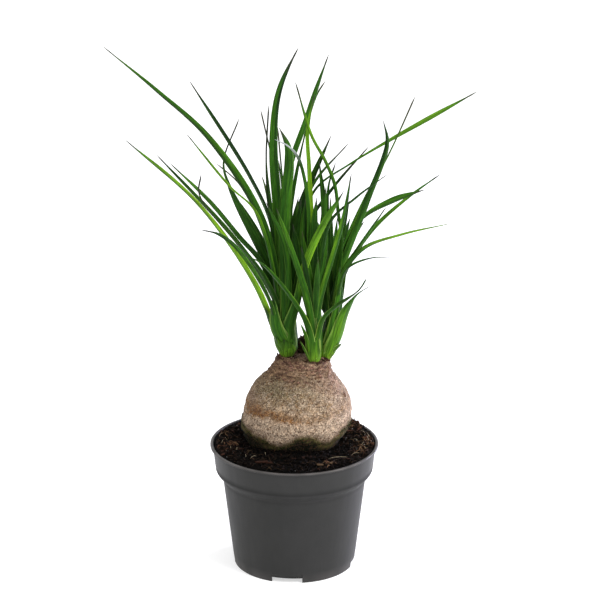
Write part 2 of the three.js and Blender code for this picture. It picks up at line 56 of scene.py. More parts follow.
# Driving dimensions of the pot
RIM_RADIUS = 60
POT_HEIGHT = 90.5
FOOT_RADIUS = 43.3
WALL = 1.2
LIP_THICKNESS = 1.6
LIP_WIDTH = 2.2
LIP_ROUNDING = 0.55
LIP_INNER_ROUNDING = 0.5
UNDER_LIP_ROUNDING = 0.5
COLLAR_TOP_RADIUS = 58.4
COLLAR_LOW_RADIUS = 56.3
COLLAR_LOW_HEIGHT = 72.5
BODY_TOP_RADIUS = 51
BODY_TOP_HEIGHT = 64
FOOT_ROUNDING = 0.4
FOOT_INNER_ROUNDING = 0.3
FLOOR_UNDERSIDE = 4.6
FLOOR_TOP = 6.0
FLOOR_OVERLAP = 0.05
DRAIN_HOLE_RADIUS = 3.4
DRAIN_HOLE_CIRCLE = 29
DRAIN_HOLE_COUNT = 8
NOTCH_COUNT = 4
NOTCH_WIDTH = 22
NOTCH_HEIGHT = 3.8
FIRST_NOTCH_COMPASS = -97

# How finely the pot is divided: columns in all and in a notch, sides of a drain hole, and the heights of
# the profile's points on the body, the shoulder and the collar.
POT_SIDES = 240
NOTCH_SIDES = 20
DRAIN_HOLE_SIDES = 24
OUTSIDE_HEIGHTS = [8, 20, 34, 48, 58, 62, *np.linspace(BODY_TOP_HEIGHT, COLLAR_LOW_HEIGHT, 12), 76, 82, 86]

# Driving dimensions of the soil. The gap is the one between the soil and the pot.
SOIL_LEVEL = 88.8
FRONT_MOUND = {"middle": (-2, -24), "rise": 3.9, "spread": 17}
BACK_HEAP = {"middle": (40, 34), "rise": 3.2, "spread": 15}
SOIL_EDGE_RISE = 1.1
SOIL_GAP = 0.3
SOIL_SIDE_HEIGHTS = (80, COLLAR_LOW_HEIGHT, 68, BODY_TOP_HEIGHT, 40, 20, FLOOR_TOP + SOIL_GAP)
SOIL_RINGS = 120
SOIL_SIDES = 330

# How much litter lies on the soil. Its pieces and the fibres of the tufts start within a reach of the pot's
# middle, and no fibre passes the limit.
LITTER_SEED = 83
CRUMB_COUNT = 2300
CHIP_COUNT = 240
FIBRE_COUNT = 170
SPECK_COUNT = 90
LITTER_REACH = 56.2
TUFT_REACH = 56
LITTER_LIMIT = 57

# Places on the soil that the picture shows. Tufts of reddish fibres: x, y, how many, spread. Chips: x, y,
# length, width, compass direction, colour. Pale threads: x, y, length, compass direction, radius.
FIBRE_TUFTS = [
    (-52, 18, 16, 5), (-46, -3, 18, 6), (-54, 28, 8, 4), (52, 4, 14, 5), (54, -6, 12, 4),
    (48, -18, 12, 5), (43, 33, 14, 4), (49, 27, 12, 4), (41, 26, 8, 3), (24, -42, 8, 5),
]
SHOWN_CHIPS = [
    (-23, -39, 9.5, 3.2, 165, "red"), (-18, -41, 6, 2.2, 150, "red"), (18, -44, 5, 2, 20, "tan"),
    (26, -40, 4.5, 1.8, 60, "tan"), (22, -37, 4, 1.6, 100, "red"), (47, -10, 4, 1.4, 70, "tan"),
]
SHOWN_THREADS = [
    (24, -31, 17, 12, 0.19), (-20, -27, 5, 95, 0.16), (51, -14, 9, 110, 0.2), (-41, -13, 4, 80, 0.16),
    (53, 2, 9, 100, 0.22), (40, -24, 8, 30, 0.16), (54, 6, 11, 104, 0.18), (51, 12, 8, 122, 0.16),
    (48, -6, 7, 70, 0.16), (46, 3, 6, 140, 0.15), (-52, -2, 7, 82, 0.15), (-48, 4, 6, 108, 0.15),
    (-54, 10, 8, 66, 0.16), (-45, -12, 6, 96, 0.14), (-31, -30, 6, 30, 0.15), (-34, -27, 5, 100, 0.14),
]

# A crumb before it is bent out of shape: an icosahedron of radius 1
GOLDEN = (1 + math.sqrt(5)) / 2
CRUMB_POINTS = np.array([
    (-1, GOLDEN, 0), (1, GOLDEN, 0), (-1, -GOLDEN, 0), (1, -GOLDEN, 0), (0, -1, GOLDEN), (0, 1, GOLDEN),
    (0, -1, -GOLDEN), (0, 1, -GOLDEN), (GOLDEN, 0, -1), (GOLDEN, 0, 1), (-GOLDEN, 0, -1), (-GOLDEN, 0, 1),
]) / math.hypot(1, GOLDEN)
CRUMB_FACES = [
    (0, 11, 5), (0, 5, 1), (0, 1, 7), (0, 7, 10), (0, 10, 11), (1, 5, 9), (5, 11, 4), (11, 10, 2),
    (10, 7, 6), (7, 1, 8), (3, 9, 4), (3, 4, 2), (3, 2, 6), (3, 6, 8), (3, 8, 9), (4, 9, 5), (2, 4, 11),
    (6, 2, 10), (8, 6, 7), (9, 8, 1),
]

# Driving dimensions of the trunk base. The heads start at the seat's depth below its top, and the scales at
# their feet stand within the neck's width at the seat's level.
TRUNK_DEPTH_RATIO = 0.92
TRUNK_MIDDLE_DEPTH = 10
TRUNK_LUMPS = 0.012
TRUNK_SIDES = 420
TRUNK_STEP = 0.5
NECK_TOP = 152.5
SEAT_DEPTH = 3
SEAT_LEVEL = 150
ROOT_COUNT = 6
ROOT_RADIUS = 4.2
ROOT_LENGTH = 46

# Rings of the trunk base, from the bottom up: height, middle of the ring in X, and half its width. Then the
# shares of the last ring's width that close the top.
TRUNK_RINGS = [
    (60, 0, 13), (66, -0.5, 20.5), (74, -1, 27), (82, -1, 31), (88, -0.8, 32.8), (93, -0.2, 34.8),
    (98, 0.8, 37.4), (103, 1.5, 38.9), (109, 2, 38.9), (116, 2.4, 37.7), (123, 2.5, 35.6), (130, 2.6, 32.2),
    (136, 3.1, 27.4), (140, 4, 23.6), (143, 4.6, 21.4), (144.5, 5, 21.6), (147, 5.4, 19.6),
    (148.5, 5.6, 19.8), (151, 5.8, 18.4), (NECK_TOP, 5.9, 17),
]
TOP_SHARES = (0.97, 0.93, 0.86, 0.77, 0.66, 0.54, 0.4, 0.25, 0.08)

# The dark stub of the first stem
STUB = {"middle": (6, 19), "radius": 4.6, "top": 163, "slope": 0.35, "taper": 0.12}
STUB_SIDES = 64
STUB_LEVELS = 26
STUB_TOP_SHARES = (0.9, 0.7, 0.45, 0.2, 0.04)

# Where marks lie on the trunk base, as heights by the angle round from the front in degrees: how far up the
# algae reach, how far up the nearly black part reaches, damp and with painted contact shade by the soil, the
# rusty band, and the dark scar at the right.
ALGAE_EDGE = [
    (-180, 101), (-120, 104), (-90, 109), (-76, 106), (-62, 102.5), (-47, 100), (-33, 100), (-26, 97),
    (-17, 96), (-9, 98), (-4, 102), (4, 104), (14, 104), (23, 102), (31, 99), (40, 98), (48, 101),
    (56, 105.5), (70, 107), (90, 106), (120, 103), (180, 101),
]
DAMP_AND_SHADED_EDGE = [
    (-180, 97), (-120, 99), (-90, 101), (-62, 97), (-38, 94.5), (-26, 92), (-16, 92.5), (-6, 96), (-2, 100),
    (10, 100.5), (24, 98), (36, 91.5), (48, 91), (60, 96), (75, 99), (90, 100), (120, 98), (180, 97),
]
RUSTY_BAND = [(-95, 115), (-50, 118.5), (-30, 118.8), (-10, 116.5), (5, 114.5), (25, 117), (60, 119)]
SCAR_LINE = [(-70, 143), (-16, 142), (16, 139), (40, 133), (80, 126)]

# The knot at the trunk's right: its angle round from the front, its height, and roughly the trunk's radius
# at that height.
KNOT_FRONT = 73
KNOT_HEIGHT = 126
KNOT_REACH = 33

# How many dry scales stand on the neck and round each head's foot, and how much moss there is
SCALE_SEED = 29
NECK_SCALE_COUNT = 230
FOOT_SCALE_COUNT = 26
MOSS_SEED = 47
MOSS_COUNT = 2400

# The torn leaf bases that stand round the heads' feet: head, compass direction, distance from its axis,
# width, height, and how far each leans out.
TORN_SCALES = [
    ("left", 190, 7.0, 5, 3.6, 0.05), ("left", 206, 7.0, 4.5, 3.2, 0.08),
    ("left", 172, 7.2, 5, 3.4, 0.08), ("left", 222, 7.0, 4.5, 3.0, 0.2),
    ("left", 235, 6.8, 5, 2.4, 0.3), ("left", 262, 6.6, 5, 2.0, 0.3),
    ("left", 290, 6.6, 4.5, 2.4, 0.2), ("left", 315, 6.8, 4, 3.0, 0.2),
    ("front", 205, 5.6, 3.6, 2.6, 0.4), ("front", 240, 5.4, 3.4, 1.8, 0.4),
    ("front", 300, 5.4, 3.4, 1.8, 0.4), ("front", 335, 5.6, 3.6, 2.6, 0.3),
    ("right", 285, 5.4, 4, 1.8, 0.2), ("right", 255, 6.2, 4, 2.6, 0.4),
]

# The heads: where each one's axis starts and where it points, and its girth, a factor on the radius above
# the seat. Below them is the radius of the core by its height above the axis's start.
HEADS = {
    "left": {"base": (-4.4, 10, NECK_TOP - SEAT_DEPTH), "top": (-8, 10, 200), "girth": 1.2},
    "front": {"base": (14, 0.5, NECK_TOP - SEAT_DEPTH), "top": (14.5, -6, 200), "girth": 0.85},
    "right": {"base": (22.5, 8, NECK_TOP - SEAT_DEPTH), "top": (30, 11, 200), "girth": 1.0},
}
CORE_RISES = (0, 0.5, 1.6, 3.5, 8, 16, 30, 46, 60, 68)
CORE_RADII = (0.8, 2.6, 4.1, 5.0, 5.9, 6.5, 6.3, 4.8, 2.4, 0.6)
CORE_SIDES = 48

# Driving dimensions of the leaves. An outer leaf climbs the core: how far above its foot it passes, and how
# much of the core's radius it holds there.
OUTER_SHEATH_WIDTH = 15
INNER_SHEATH_WIDTH = 6.5
SHEATH_REACH = 26
SHORT_SHEATH_SHARE = 0.45
LEAST_WIDTH = 1.15
TIP_WIDTH = 0.25
TIP_LENGTH = 5
CLASP_REACH = 30
CLIMB = ((0, 0.62), (3.5, 0.93), (9, 1.0), (17, 1.0))
INNER_ROOT = 15
FOLD_DEPTH = 0.16
LEAF_THICKNESS = 0.5
VEIN_SPACING = 0.62
STREAK_WIDTH = 0.55
STREAK_LENGTH = 15
BLADE_HALF_POINTS = 9
BLADE_STEP = 2.6
FEWEST_RINGS = 16
MOST_RINGS = 110

# How a leaf's width runs, as factors at even steps from its base to its tip. A slim leaf draws out to a
# long point, an even one and a cup keep their width nearly to the tip, a late one shows its edge lower down
# and its face further out, and a stalk is narrow at its base.
FORMS = {
    "plain": (1, 1, 1, 0.98, 0.94, 0.86, 0.74, 0.5, 0),
    "slim": (1, 1, 1, 1, 0.95, 0.75, 0.33, 0.16, 0),
    "even": (1, 1, 1, 1, 1, 0.98, 0.92, 0.75, 0),
    "late": (1, 1, 0.9, 0.7, 0.45, 0.5, 0.9, 1, 0),
    "cup": (1, 1, 1, 1, 1, 0.92, 0.78, 0.55, 0),
    "stalk": (0.15, 0.2, 0.35, 0.65, 0.95, 1, 0.85, 0.55, 0),
}


class Leaf(NamedTuple):
    """A leaf. What is left out is drawn at random, or follows from the rest."""

    # The compass direction of its outer face, its width, and the points that it passes
    faces: float
    wide: float
    way: list
    # How light its green is, from 0 to 1 at even steps of its length, and how its width runs
    tones: tuple = (0.45,)
    form: str = "plain"
    # The share of it that is dry, at the tip, and whether that is bleached
    dry: float = 0.05
    bleached: bool = False
    # On which side of the head it stands, where that is not the way that it faces
    stands: float = None
    # How wide its sheath is, and how high its foot
    sheath: float = None
    foot: float = None
    # How much lighter one half of the blade is than the other: painted light and shade on the gutter's two
    # halves
    halves: float = None
    # The compass direction that the outer part faces, where it turns
    ends: float = None


OUTER_LEAVES = {
    "left": [
        Leaf(115, 7, [(-16, 20, 209), (-46, 40, 269), (-50, 45, 285), (-39, 56, 314)], (0.25, 0.3, 0.2),
             "slim", 0.2),
        Leaf(245, 4.8, [(-17.5, 3, 184), (-29, -10, 216), (-65, -40, 280), (-112, -66, 333)],
             (0.5, 0.9, 1.0, 0.9, 0.7, 0.35), "even", stands=195, sheath=8, halves=0.2),
        Leaf(255, 3.0, [(-16, -10, 197), (-38, -62, 255.5), (-50, -80, 271.5), (-61, -94, 279)],
             (0.25, 0.15, 0.3, 0.0), "even", 0.07, stands=215, sheath=7, ends=300),
        Leaf(282, 8.4, [(-7, -4, 247), (-5.6, -9, 274), (-3.1, -13, 300), (-4.2, -15, 314),
              (-10.3, -17, 328)], (0.3, 0.35, 0.25), "even"),
        Leaf(75, 3.6, [(3, 26, 237), (15, 32, 269), (39, 40, 285), (130, 72, 329.5)],
             (0.2, 0.2, 0.15, 0.1, 0.3, 0.7, 0.75, 0.75, 0.5), "late"),
        Leaf(285, 5.6, [(2, -4, 198), (8, -16, 229), (18, -24, 256), (34, -34, 288)],
             (0.2, 0.2, 0.3, 0.7, 0.75, 0.75, 0.6, 0.5), "even"),
        Leaf(270, 4.8, [(-4, 0, 198), (-6, -10, 239), (-19, -22, 276)], (0.3, 0.4, 0.3)),
        Leaf(225, 5, [(-16, 4.5, 176), (-21, -2, 194)], (0.3, 0.25, 0.1), stands=205),
        Leaf(250, 7, [(-12.5, 0.5, 175), (-15, -10, 204)], (0.35, 0.4, 0.2)),
        Leaf(80, 8.5, [(1, 26, 219), (7, 44, 265)], (0.1,)),
    ],
    "front": [
        Leaf(250, 4.6, [(8, -12, 186), (-10, -32, 221), (-24, -49, 242), (-36, -60, 251)],
             (0.3, 0.35, 0.3, 0.1), sheath=7),
        Leaf(262, 5, [(9, -14, 203), (-1, -27, 241), (-12, -42, 278)], (0.2, 0.22, 0.35, 0.5, 0.45),
             sheath=8),
        Leaf(290, 4.6, [(17, -9, 194), (34, -23, 265), (39, -30, 299)], (0.4, 0.42, 0.4, 0.1), sheath=7,
             halves=-0.2),
        Leaf(295, 4.2, [(20, -17, 189), (28, -29, 202), (44, -53, 223), (49, -66, 236)],
             (0.45, 0.35, 0.15, 0.05), "slim", 0.01, sheath=5, ends=255),
        Leaf(240, 3.4, [(8.2, -8, 173), (6.5, -11, 179), (4, -14, 186)], (0.5, 0.35, 0.25), stands=232,
             foot=2.4, sheath=5),
        Leaf(225, 3.0, [(6, -7.5, 166), (3.7, -10, 171.5)], (0.6, 0.4, 0.3), stands=205, foot=2.6,
             sheath=4),
    ],
    "right": [
        Leaf(295, 3.4, [(32, -5, 211), (37.1, -10, 226), (49, -16, 241.5), (73, -27, 254),
              (105, -44, 267.5)], (0.3, 0.2, 0.1, 0.15, 0.75, 0.95, 0.7), "even", 0.02, ends=262),
        Leaf(300, 9, [(30.3, 0, 169), (35, -3, 187), (43.2, -12, 205), (54, -18, 215)],
             (0.45, 0.6, 0.45, 0.15), "slim"),
        Leaf(305, 6, [(29.8, 2.6, 160.5), (33.9, 2.4, 164.8)], (0.5, 0.25, 0.05), "even", 0.01, sheath=7),
        Leaf(285, 3.8, [(27.5, -2, 180), (30.5, -6, 200), (32, -9, 225)], (0.25, 0.35, 0.35)),
    ],
}
INNER_LEAVES = {
    "left": [
        Leaf(250, 6, [(-22.5, -2, 257), (-58, -11, 318), (-92, -19, 353), (-128, -28, 387)],
             (0.15, 0.22, 0.25, 0.2, 0.45), halves=0.18),
        Leaf(130, 3.6, [(-17, 28, 246), (-31, 37, 276), (-74, 62, 340)], (0.1, 0.05, 0.0), "even"),
        Leaf(240, 3, [(-26, -18, 267), (-44, -28, 289), (-72, -48, 332)], (0.2, 0.3, 0.6, 0.9, 0.5),
             "even"),
        Leaf(115, 1.9, [(-23, 45, 235), (-39, 66, 262), (-56, 80, 274)], (0.35, 0.3), "slim", 0.3),
        Leaf(250, 4.8, [(-21, -2, 213), (-45, -12, 251), (-93, -30, 312)], (0.3, 0.35, 0.2, 0.05)),
        Leaf(125, 4.4, [(-23, 15, 220), (-38, 19, 237), (-59, 24, 262), (-87, 29, 289)],
             (0.3, 0.3, 0.45, 0.7)),
        Leaf(250, 3.4, [(-22, -10, 220), (-59, -44, 279), (-64, -49, 291), (-62, -56, 306)],
             (0.2, 0.2, 0.1), "slim", 0.3),
        Leaf(120, 5, [(-19, 27, 223), (-38, 44, 254), (-44, 48, 261)], (0.15,)),
        Leaf(260, 4.2, [(-14, 12, 238), (-19.4, 19, 290), (-17.7, 24, 332)], (0.2, 0.1, 0.05), "slim", 0.3),
        Leaf(110, 2.8, [(-12, 49, 264), (-24, 76, 315)], (0.2, 0.05), "slim", 0.2),
        Leaf(278, 7.2, [(-11, 1, 260), (-14, -3, 308), (-12.5, -5, 338), (-9, -6, 354), (-3.8, -7, 367),
              (3, -8, 381)], (0.2, 0.3, 0.3, 0.25, 0.1), dry=0.08, halves=-0.16),
        Leaf(95, 2.8, [(-6, 48, 234), (-12, 94, 297)], (0.3, 0.1), "slim", 0.2),
        Leaf(290, 4.4, [(-6, 14, 241), (-5.5, 17, 266), (-2.4, 21, 290), (8.6, 27, 321), (15.5, 31, 342),
              (24, 34, 366)], (0.15, 0.15, 0.1, 0.3, 0.15), "even"),
        Leaf(80, 3.4, [(-2, 32, 258), (15, 52, 330), (22, 58, 341)], (0.4,), "slim"),
        Leaf(70, 6.2, [(-4, 24, 230), (4.6, 31, 257), (26, 44, 305)], (0.05, 0.1)),
        Leaf(60, 3.4, [(1, 38, 230), (13, 60, 263), (39, 84, 288)], (0.2, 0.35), dry=0.15),
        Leaf(60, 3.6, [(5, 29, 235), (27, 43, 266), (53, 58, 293)], (0.15, 0.1), dry=0.15),
        Leaf(105, 3, [(-7, 37, 252), (-11, 50, 285)], (0.2,)),
        Leaf(270, 8, [(-1, 6, 226), (5, 6, 270)], (0.15,)),
        Leaf(270, 7.5, [(-0.5, 9, 205), (-0.5, 13, 234), (1, 16, 255), (3, 18, 268)], (0.2, 0.15)),
        Leaf(275, 7, [(3, 17, 215), (6, 24, 240), (9, 30, 260)], (0.1,)),
    ],
    "front": [
        Leaf(95, 3.2, [(13, 2, 240), (11.7, 4, 266), (10.3, 6, 294), (9.3, 8, 319), (14, 10, 344)],
             (0.3, 0.7, 1, 0.9, 0.6), "even"),
        Leaf(300, 3, [(19, -13, 224), (25, -20, 261), (42, -26, 280), (64, -34, 300)], (0.2, 0.05), "even"),
        Leaf(270, 6.4, [(17, -5, 228), (20, -8, 255), (22, -10, 284)], (0.3, 0.45)),
        Leaf(265, 8, [(10, -3, 222), (7, -7, 248), (8, -9, 276)], (0.05,)),
        Leaf(272, 8, [(13.3, -9, 228), (14, -11, 257), (15.6, -13, 277)], (0.15, 0.3)),
        Leaf(280, 6, [(15, -11, 202), (20, -14, 230), (23, -16, 257)], (0.3, 0.3)),
        Leaf(265, 7.5, [(6.2, -2, 212), (2, -5, 236), (-1, -7, 256)], (0.15,)),
        Leaf(268, 7, [(11, -9, 212), (7.5, -12, 235), (5.5, -14, 253)], (0.1, 0.2)),
        Leaf(262, 2.7, [(12, -5, 215), (10.3, -8, 241), (9.6, -12, 271), (6.5, -15, 293.5), (2.4, -17, 307),
              (-4, -19, 315),
             (-13, -20, 320)], (0.2, 0.25, 0.3, 0.2), "even", 0.11, True),
    ],
    "right": [
        Leaf(255, 2.5, [(33, -1, 240), (30.4, -3, 263), (28, -5, 283), (21, -8, 302), (12, -11, 320),
              (1, -16, 359)], (0.15, 0.12, 0.2, 0.4, 0.75, 0.25), "even", 0.08),
        Leaf(75, 3, [(35, 23, 227), (49, 31, 260), (68, 41, 295), (85, 52, 331)],
             (0.3, 0.6, 0.75, 0.65, 0.3), "slim", 0.16),
        Leaf(290, 5, [(33, 2, 218), (50, -2, 269), (64, -6, 313), (61, -8, 330)], (0.4, 0.5, 0.25, 0.05),
             "even", 0.02),
        Leaf(65, 3.6, [(32, 13, 203), (41, 17, 223), (58, 24, 245), (81, 31, 264), (103, 36, 279)],
             (0.2, 0.3, 0.5, 0.6, 0.3)),
        Leaf(290, 4.4, [(35, 5, 233), (47, 4, 256), (67, 3, 269), (91, 2, 278)], (0.2, 0.1, 0.2, 0.5, 0.4),
             "late", ends=278),
        Leaf(290, 3.8, [(31, -2, 206), (34.7, -6, 222), (44, -12, 239), (63, -26, 274)],
             (0.3, 0.7, 0.4, 0.1)),
        Leaf(285, 2.4, [(31, -9, 207), (33.5, -20, 222), (39, -36, 235), (53, -53, 246), (70, -74, 253)],
             (0.3, 0.1, 0.0), "even", 0.1, ends=262),
        Leaf(95, 6, [(21, 19, 212), (21.3, 27, 253), (17.5, 34, 290)], (0.2,)),
        Leaf(85, 3, [(24, 19, 243), (24, 22, 274), (29, 24, 291)], (0.2,)),
        Leaf(75, 5, [(32, 27, 226), (39, 38, 259)], (0.3,)),
        Leaf(268, 8, [(21.6, 5, 194), (20.8, 7, 224), (21.5, 8, 252)], (0.1,)),
    ],
}

# The outermost sheaths: short ones round the feet of the heads in front, longer ones behind
OUTERMOST_SHEATHS = {
    "left": [
        Leaf(262, 14, [(-6.4, 1.2, 163), (-6.9, -0.1, 168)], (0.5, 0.4, 0.2, 0), "cup", 0.01, sheath=17,
             halves=0),
        Leaf(215, 8, [(-11.6, 4.6, 163), (-13.4, 3.0, 170)], (0.4, 0.3, 0.2), "cup", 0.01, sheath=11,
             halves=0),
        Leaf(104, 9, [(-9.5, 17, 196), (-11.5, 22, 214), (-15, 28, 229)], (0.4, 0.35, 0.2), sheath=15),
    ],
    "front": [
        Leaf(292, 7, [(15.8, -5.6, 163), (16.4, -6.6, 172)], (0.6, 0.5, 0.35), "cup", 0.01, sheath=10),
        Leaf(92, 8, [(14, 5.5, 197), (13, 8.5, 218), (12, 12.5, 236)], (0.35, 0.3, 0.2), sheath=12),
    ],
    "right": [
        Leaf(275, 8, [(24.4, 1.6, 161), (25.3, 0.2, 168)], (0.5, 0.5, 0.35), "cup", 0.01, sheath=11),
        Leaf(74, 9, [(31.5, 17, 195), (34.5, 22, 211), (38, 27, 224)], (0.4, 0.35, 0.2), sheath=14),
        Leaf(215, 6.5, [(22.5, 4, 178), (22, 4, 195), (22, 5, 212)], (0.3, 0.2, 0.1), sheath=9),
    ],
}

# The leaves on the plant's far side, by a rule: they fan out over the arc that each head leaves them, and
# arch over under their own weight.
HIDDEN_LEAVES = {
    "left": {"count": 7, "from": 84, "to": 112, "shortest": 100, "longest": 130, "lean_end": 84},
    "front": {"count": 2, "from": 250, "to": 290, "shortest": 60, "longest": 80, "lean_end": 30},
    "right": {"count": 5, "from": 68, "to": 104, "shortest": 80, "longest": 105, "lean_end": 78},
}
HIDDEN_STEPS = 4
GOLDEN_SHARE = 0.618034

# Colours, as linear red, green and blue
LEAF_DARK = np.array((0.0045, 0.0200, 0.0030))
LEAF_MIDDLE = np.array((0.0200, 0.0780, 0.0060))
LEAF_LIGHT = np.array((0.1150, 0.2500, 0.0120))
LEAF_BASE = np.array((0.0900, 0.1900, 0.0120))
LEAF_FOOT = np.array((0.2200, 0.2400, 0.0400))
LEAF_MARGIN = np.array((0.2800, 0.4000, 0.1000))
LEAF_DRY = np.array((0.0300, 0.0300, 0.0240))
LEAF_BLEACHED = np.array((0.3800, 0.4000, 0.4200))
LEAF_GOLD_SHIFT = np.array((1.75, 1.5, 0.8))
BARK_PALE = np.array((0.330, 0.248, 0.172))
BARK_TAN = np.array((0.225, 0.143, 0.078))
BARK_BROWN = np.array((0.085, 0.042, 0.025))
BARK_OLIVE = np.array((0.120, 0.098, 0.052))
BARK_ORANGE = np.array((0.235, 0.098, 0.021))
BARK_PINK = np.array((0.240, 0.128, 0.094))
BARK_CLEAN = np.array((0.46, 0.37, 0.28))
BARK_RUST = np.array((0.19, 0.085, 0.035))
ALGAE = np.array((0.047, 0.046, 0.006))
ALGAE_DARK = np.array((0.010, 0.014, 0.004))
PEAT_DARK = np.array((0.0012, 0.0010, 0.0008))
PEAT_BROWN = np.array((0.0090, 0.0048, 0.0030))
CHIP_RED = np.array((0.060, 0.022, 0.012))
CHIP_TAN = np.array((0.130, 0.078, 0.040))
THREAD_PALE = np.array((0.230, 0.190, 0.130))
SPECK_PALE = np.array((0.220, 0.220, 0.210))
POT_DARK = np.array((0.0142, 0.0142, 0.0137))
POT_LIGHT = np.array((0.0180, 0.0178, 0.0172))
POT_RUBBED = np.array((0.045, 0.044, 0.042))
# Rubbed wear, and a painted highlight along the lip's top edge
POT_WORN_AND_HIGHLIGHT = np.array((0.150, 0.135, 0.130))
# Painted shade under the pot's collar
POT_PAINTED_SHADE = np.array((0.0055, 0.0055, 0.0053))
FLOOR_DARK = np.array((0.59, 0.59, 0.59))
FLOOR_LIGHT = np.array((0.61, 0.61, 0.61))
WHITE = np.array((1, 1, 1))

# The stage, the lights and the camera, in metres and watts. The sky's strength grows from left to right. The
# key light is large and at the front right, the other one is weak and behind.
FLOOR_REACH = 9
# The floor's glow is painted light: it lifts the shadows that fall on the floor
FLOOR_PAINTED_GLOW = 0.55
SKY_LEFT = 0.8
SKY_RIGHT = 1.42
LIGHTS = {
    "key": {"place": (1.3, -1.0, 1.4), "aim": (0, 0, 0.2), "size": (0.9, 0.9), "power": 34, "color": WHITE},
    "edge": {
        "place": (0.85, 0.62, 0.25), "aim": (0, 0, 0.08), "size": (0.2, 0.6), "power": 16,
        "color": (0.74, 0.72, 1.0),
    },
}
CAMERA_PLACE = (0.00408, -1.8, 0.82)
CAMERA_PITCH = 19.07
CAMERA_LENS = 163
CAMERA_SENSOR = 36
CAMERA_REACH = 50


def mix(low, high, share):
    """Colours between two, for an array of shares."""
    share = np.clip(np.asarray(share, float), 0, 1)[..., None]
    return low * (1 - share) + high * share


def stained(tint, *stains):
    """The colour with stains laid over it in turn, each a colour and how much of it shows."""
    for color, share in stains:
        tint = mix(tint, color, share)
    return tint


def smooth(low, high, value):
    """A share that rises smoothly from 0 at low to 1 at high."""
    share = np.clip((np.asarray(value, float) - low) / (high - low), 0, 1)
    return share * share * (3 - 2 * share)


def hump(value, middle, spread):
    """A share that is 1 at the middle and falls off to both sides."""
    return np.exp(-(((np.asarray(value, float) - middle) / spread) ** 2))


def clouds(points, size, octaves=1, seed=0.0):
    """Perlin noise about 0 at each point, with lumps of that size in millimetres."""
    shift = Vector((seed, seed * 1.7, -seed))
    if octaves == 1:
        return np.array([noise.noise(Vector(point) / size + shift) for point in points])
    return np.array([noise.fractal(Vector(point) / size + shift, 0.9, 2.0, octaves) for point in points])


def unit(vectors):
    """The vectors, each drawn out or in to a length of 1."""
    return vectors / np.maximum(np.linalg.norm(vectors, axis=-1, keepdims=True), 1e-6)


def outwards(turn):
    """The level direction of a turn."""
    return np.array((math.cos(turn), math.sin(turn), 0))


def front_degrees(turn):
    """The angle round from the front in degrees, from -180 to 180 and positive to the right."""
    return ((turn / DEGREE + 90 + 180) % 360) - 180


def hermite(t, start, end, leave, reach):
    """The cubic from start to end at shares t of its span, by its slopes at both ends."""
    return (
        (2 * t**3 - 3 * t**2 + 1) * start
        + (t**3 - 2 * t**2 + t) * leave
        + (3 * t**2 - 2 * t**3) * end
        + (t**3 - t**2) * reach
    )


def smooth_between(x, xs, ys):
    """A smooth curve through the points, for an array of places."""
    xs, ys = np.asarray(xs, float), np.asarray(ys, float)
    slopes = np.gradient(ys, xs)
    index = np.clip(np.searchsorted(xs, x) - 1, 0, len(xs) - 2)
    span = xs[index + 1] - xs[index]
    t = (x - xs[index]) / span
    return hermite(t, ys[index], ys[index + 1], span * slopes[index], span * slopes[index + 1])


def grid_faces(rings, sides, closed=True):
    """Quads between rings of equally many points."""
    ring, side = np.meshgrid(np.arange(rings - 1), np.arange(sides if closed else sides - 1), indexing="ij")
    here, there = ring * sides, (ring + 1) * sides
    after = (side + 1) % sides
    return np.stack([here + side, here + after, there + after, there + side], -1).reshape(-1, 4).tolist()


def solid_faces(rings, sides):
    """Quads between closed rings, and one face over each end."""
    last = (rings - 1) * sides
    return [*grid_faces(rings, sides), list(range(sides))[::-1], list(range(last, last + sides))]


def add_piece(name, points, faces, material, slot, node=None, smooth_shading=True, **attributes):
    """A mesh object of the plant. Each attribute is a number, or a number or colour per point."""
    mesh = bpy.data.meshes.new(name)
    mesh.from_pydata((np.asarray(points, float) * MM).tolist(), [], faces)
    for label, values in attributes.items():
        values = np.asarray(values, np.float32)
        if values.ndim == 2:
            layer = mesh.attributes.new(label, "FLOAT_COLOR", "POINT")
            layer.data.foreach_set("color", np.column_stack([values, np.ones(len(values))]).ravel())
        else:
            layer = mesh.attributes.new(label, "FLOAT", "POINT")
            layer.data.foreach_set("value", np.resize(values, len(points)))
    mesh.polygons.foreach_set("use_smooth", [smooth_shading] * len(mesh.polygons))
    mesh.materials.append(material)
    mesh.validate()
    mesh.update()
    piece = bpy.data.objects.new(name, mesh)
    bpy.context.scene.collection.objects.link(piece)
    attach(piece, "root")
    if node:
        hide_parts(node)
    return piece


def add_parts(name, parts, material, slot, **rest):
    """Many small closed shapes as one piece. Each is its points, its faces, and its colour or colours."""
    points, faces, tints, total = [], [], [], 0
    for part_points, part_faces, tint in parts:
        points.append(part_points)
        faces += [[corner + total for corner in face] for face in part_faces]
        tints.append(np.broadcast_to(tint, (len(part_points), 3)))
        total += len(part_points)
    add_piece(name, np.concatenate(points), faces, material, slot, tint=np.concatenate(tints), **rest)


# Materials


def put(tree, socket, value):
    """Sets a node's input to a number, a colour or the output of another node."""
    if isinstance(value, bpy.types.NodeSocket):
        tree.links.new(value, socket)
    elif socket.type == "RGBA":
        socket.default_value = (*value, 1)
    else:
        socket.default_value = value


def add_node(tree, kind, output, values=None, **settings):
    """Adds a node with its inputs and settings, and gives its output."""
    node = tree.nodes.new(kind)
    for label, setting in settings.items():
        setattr(node, label, setting)
    for label, value in (values or {}).items():
        put(tree, node.inputs[label], value)
    return node.outputs[output]


def add_range(tree, value, low, high, to_low, to_high):
    """The value, with the stretch from low to high moved onto the one from to_low to to_high."""
    values = {"Value": value, "From Min": low, "From Max": high, "To Min": to_low, "To Max": to_high}
    return add_node(tree, "ShaderNodeMapRange", "Result", values)


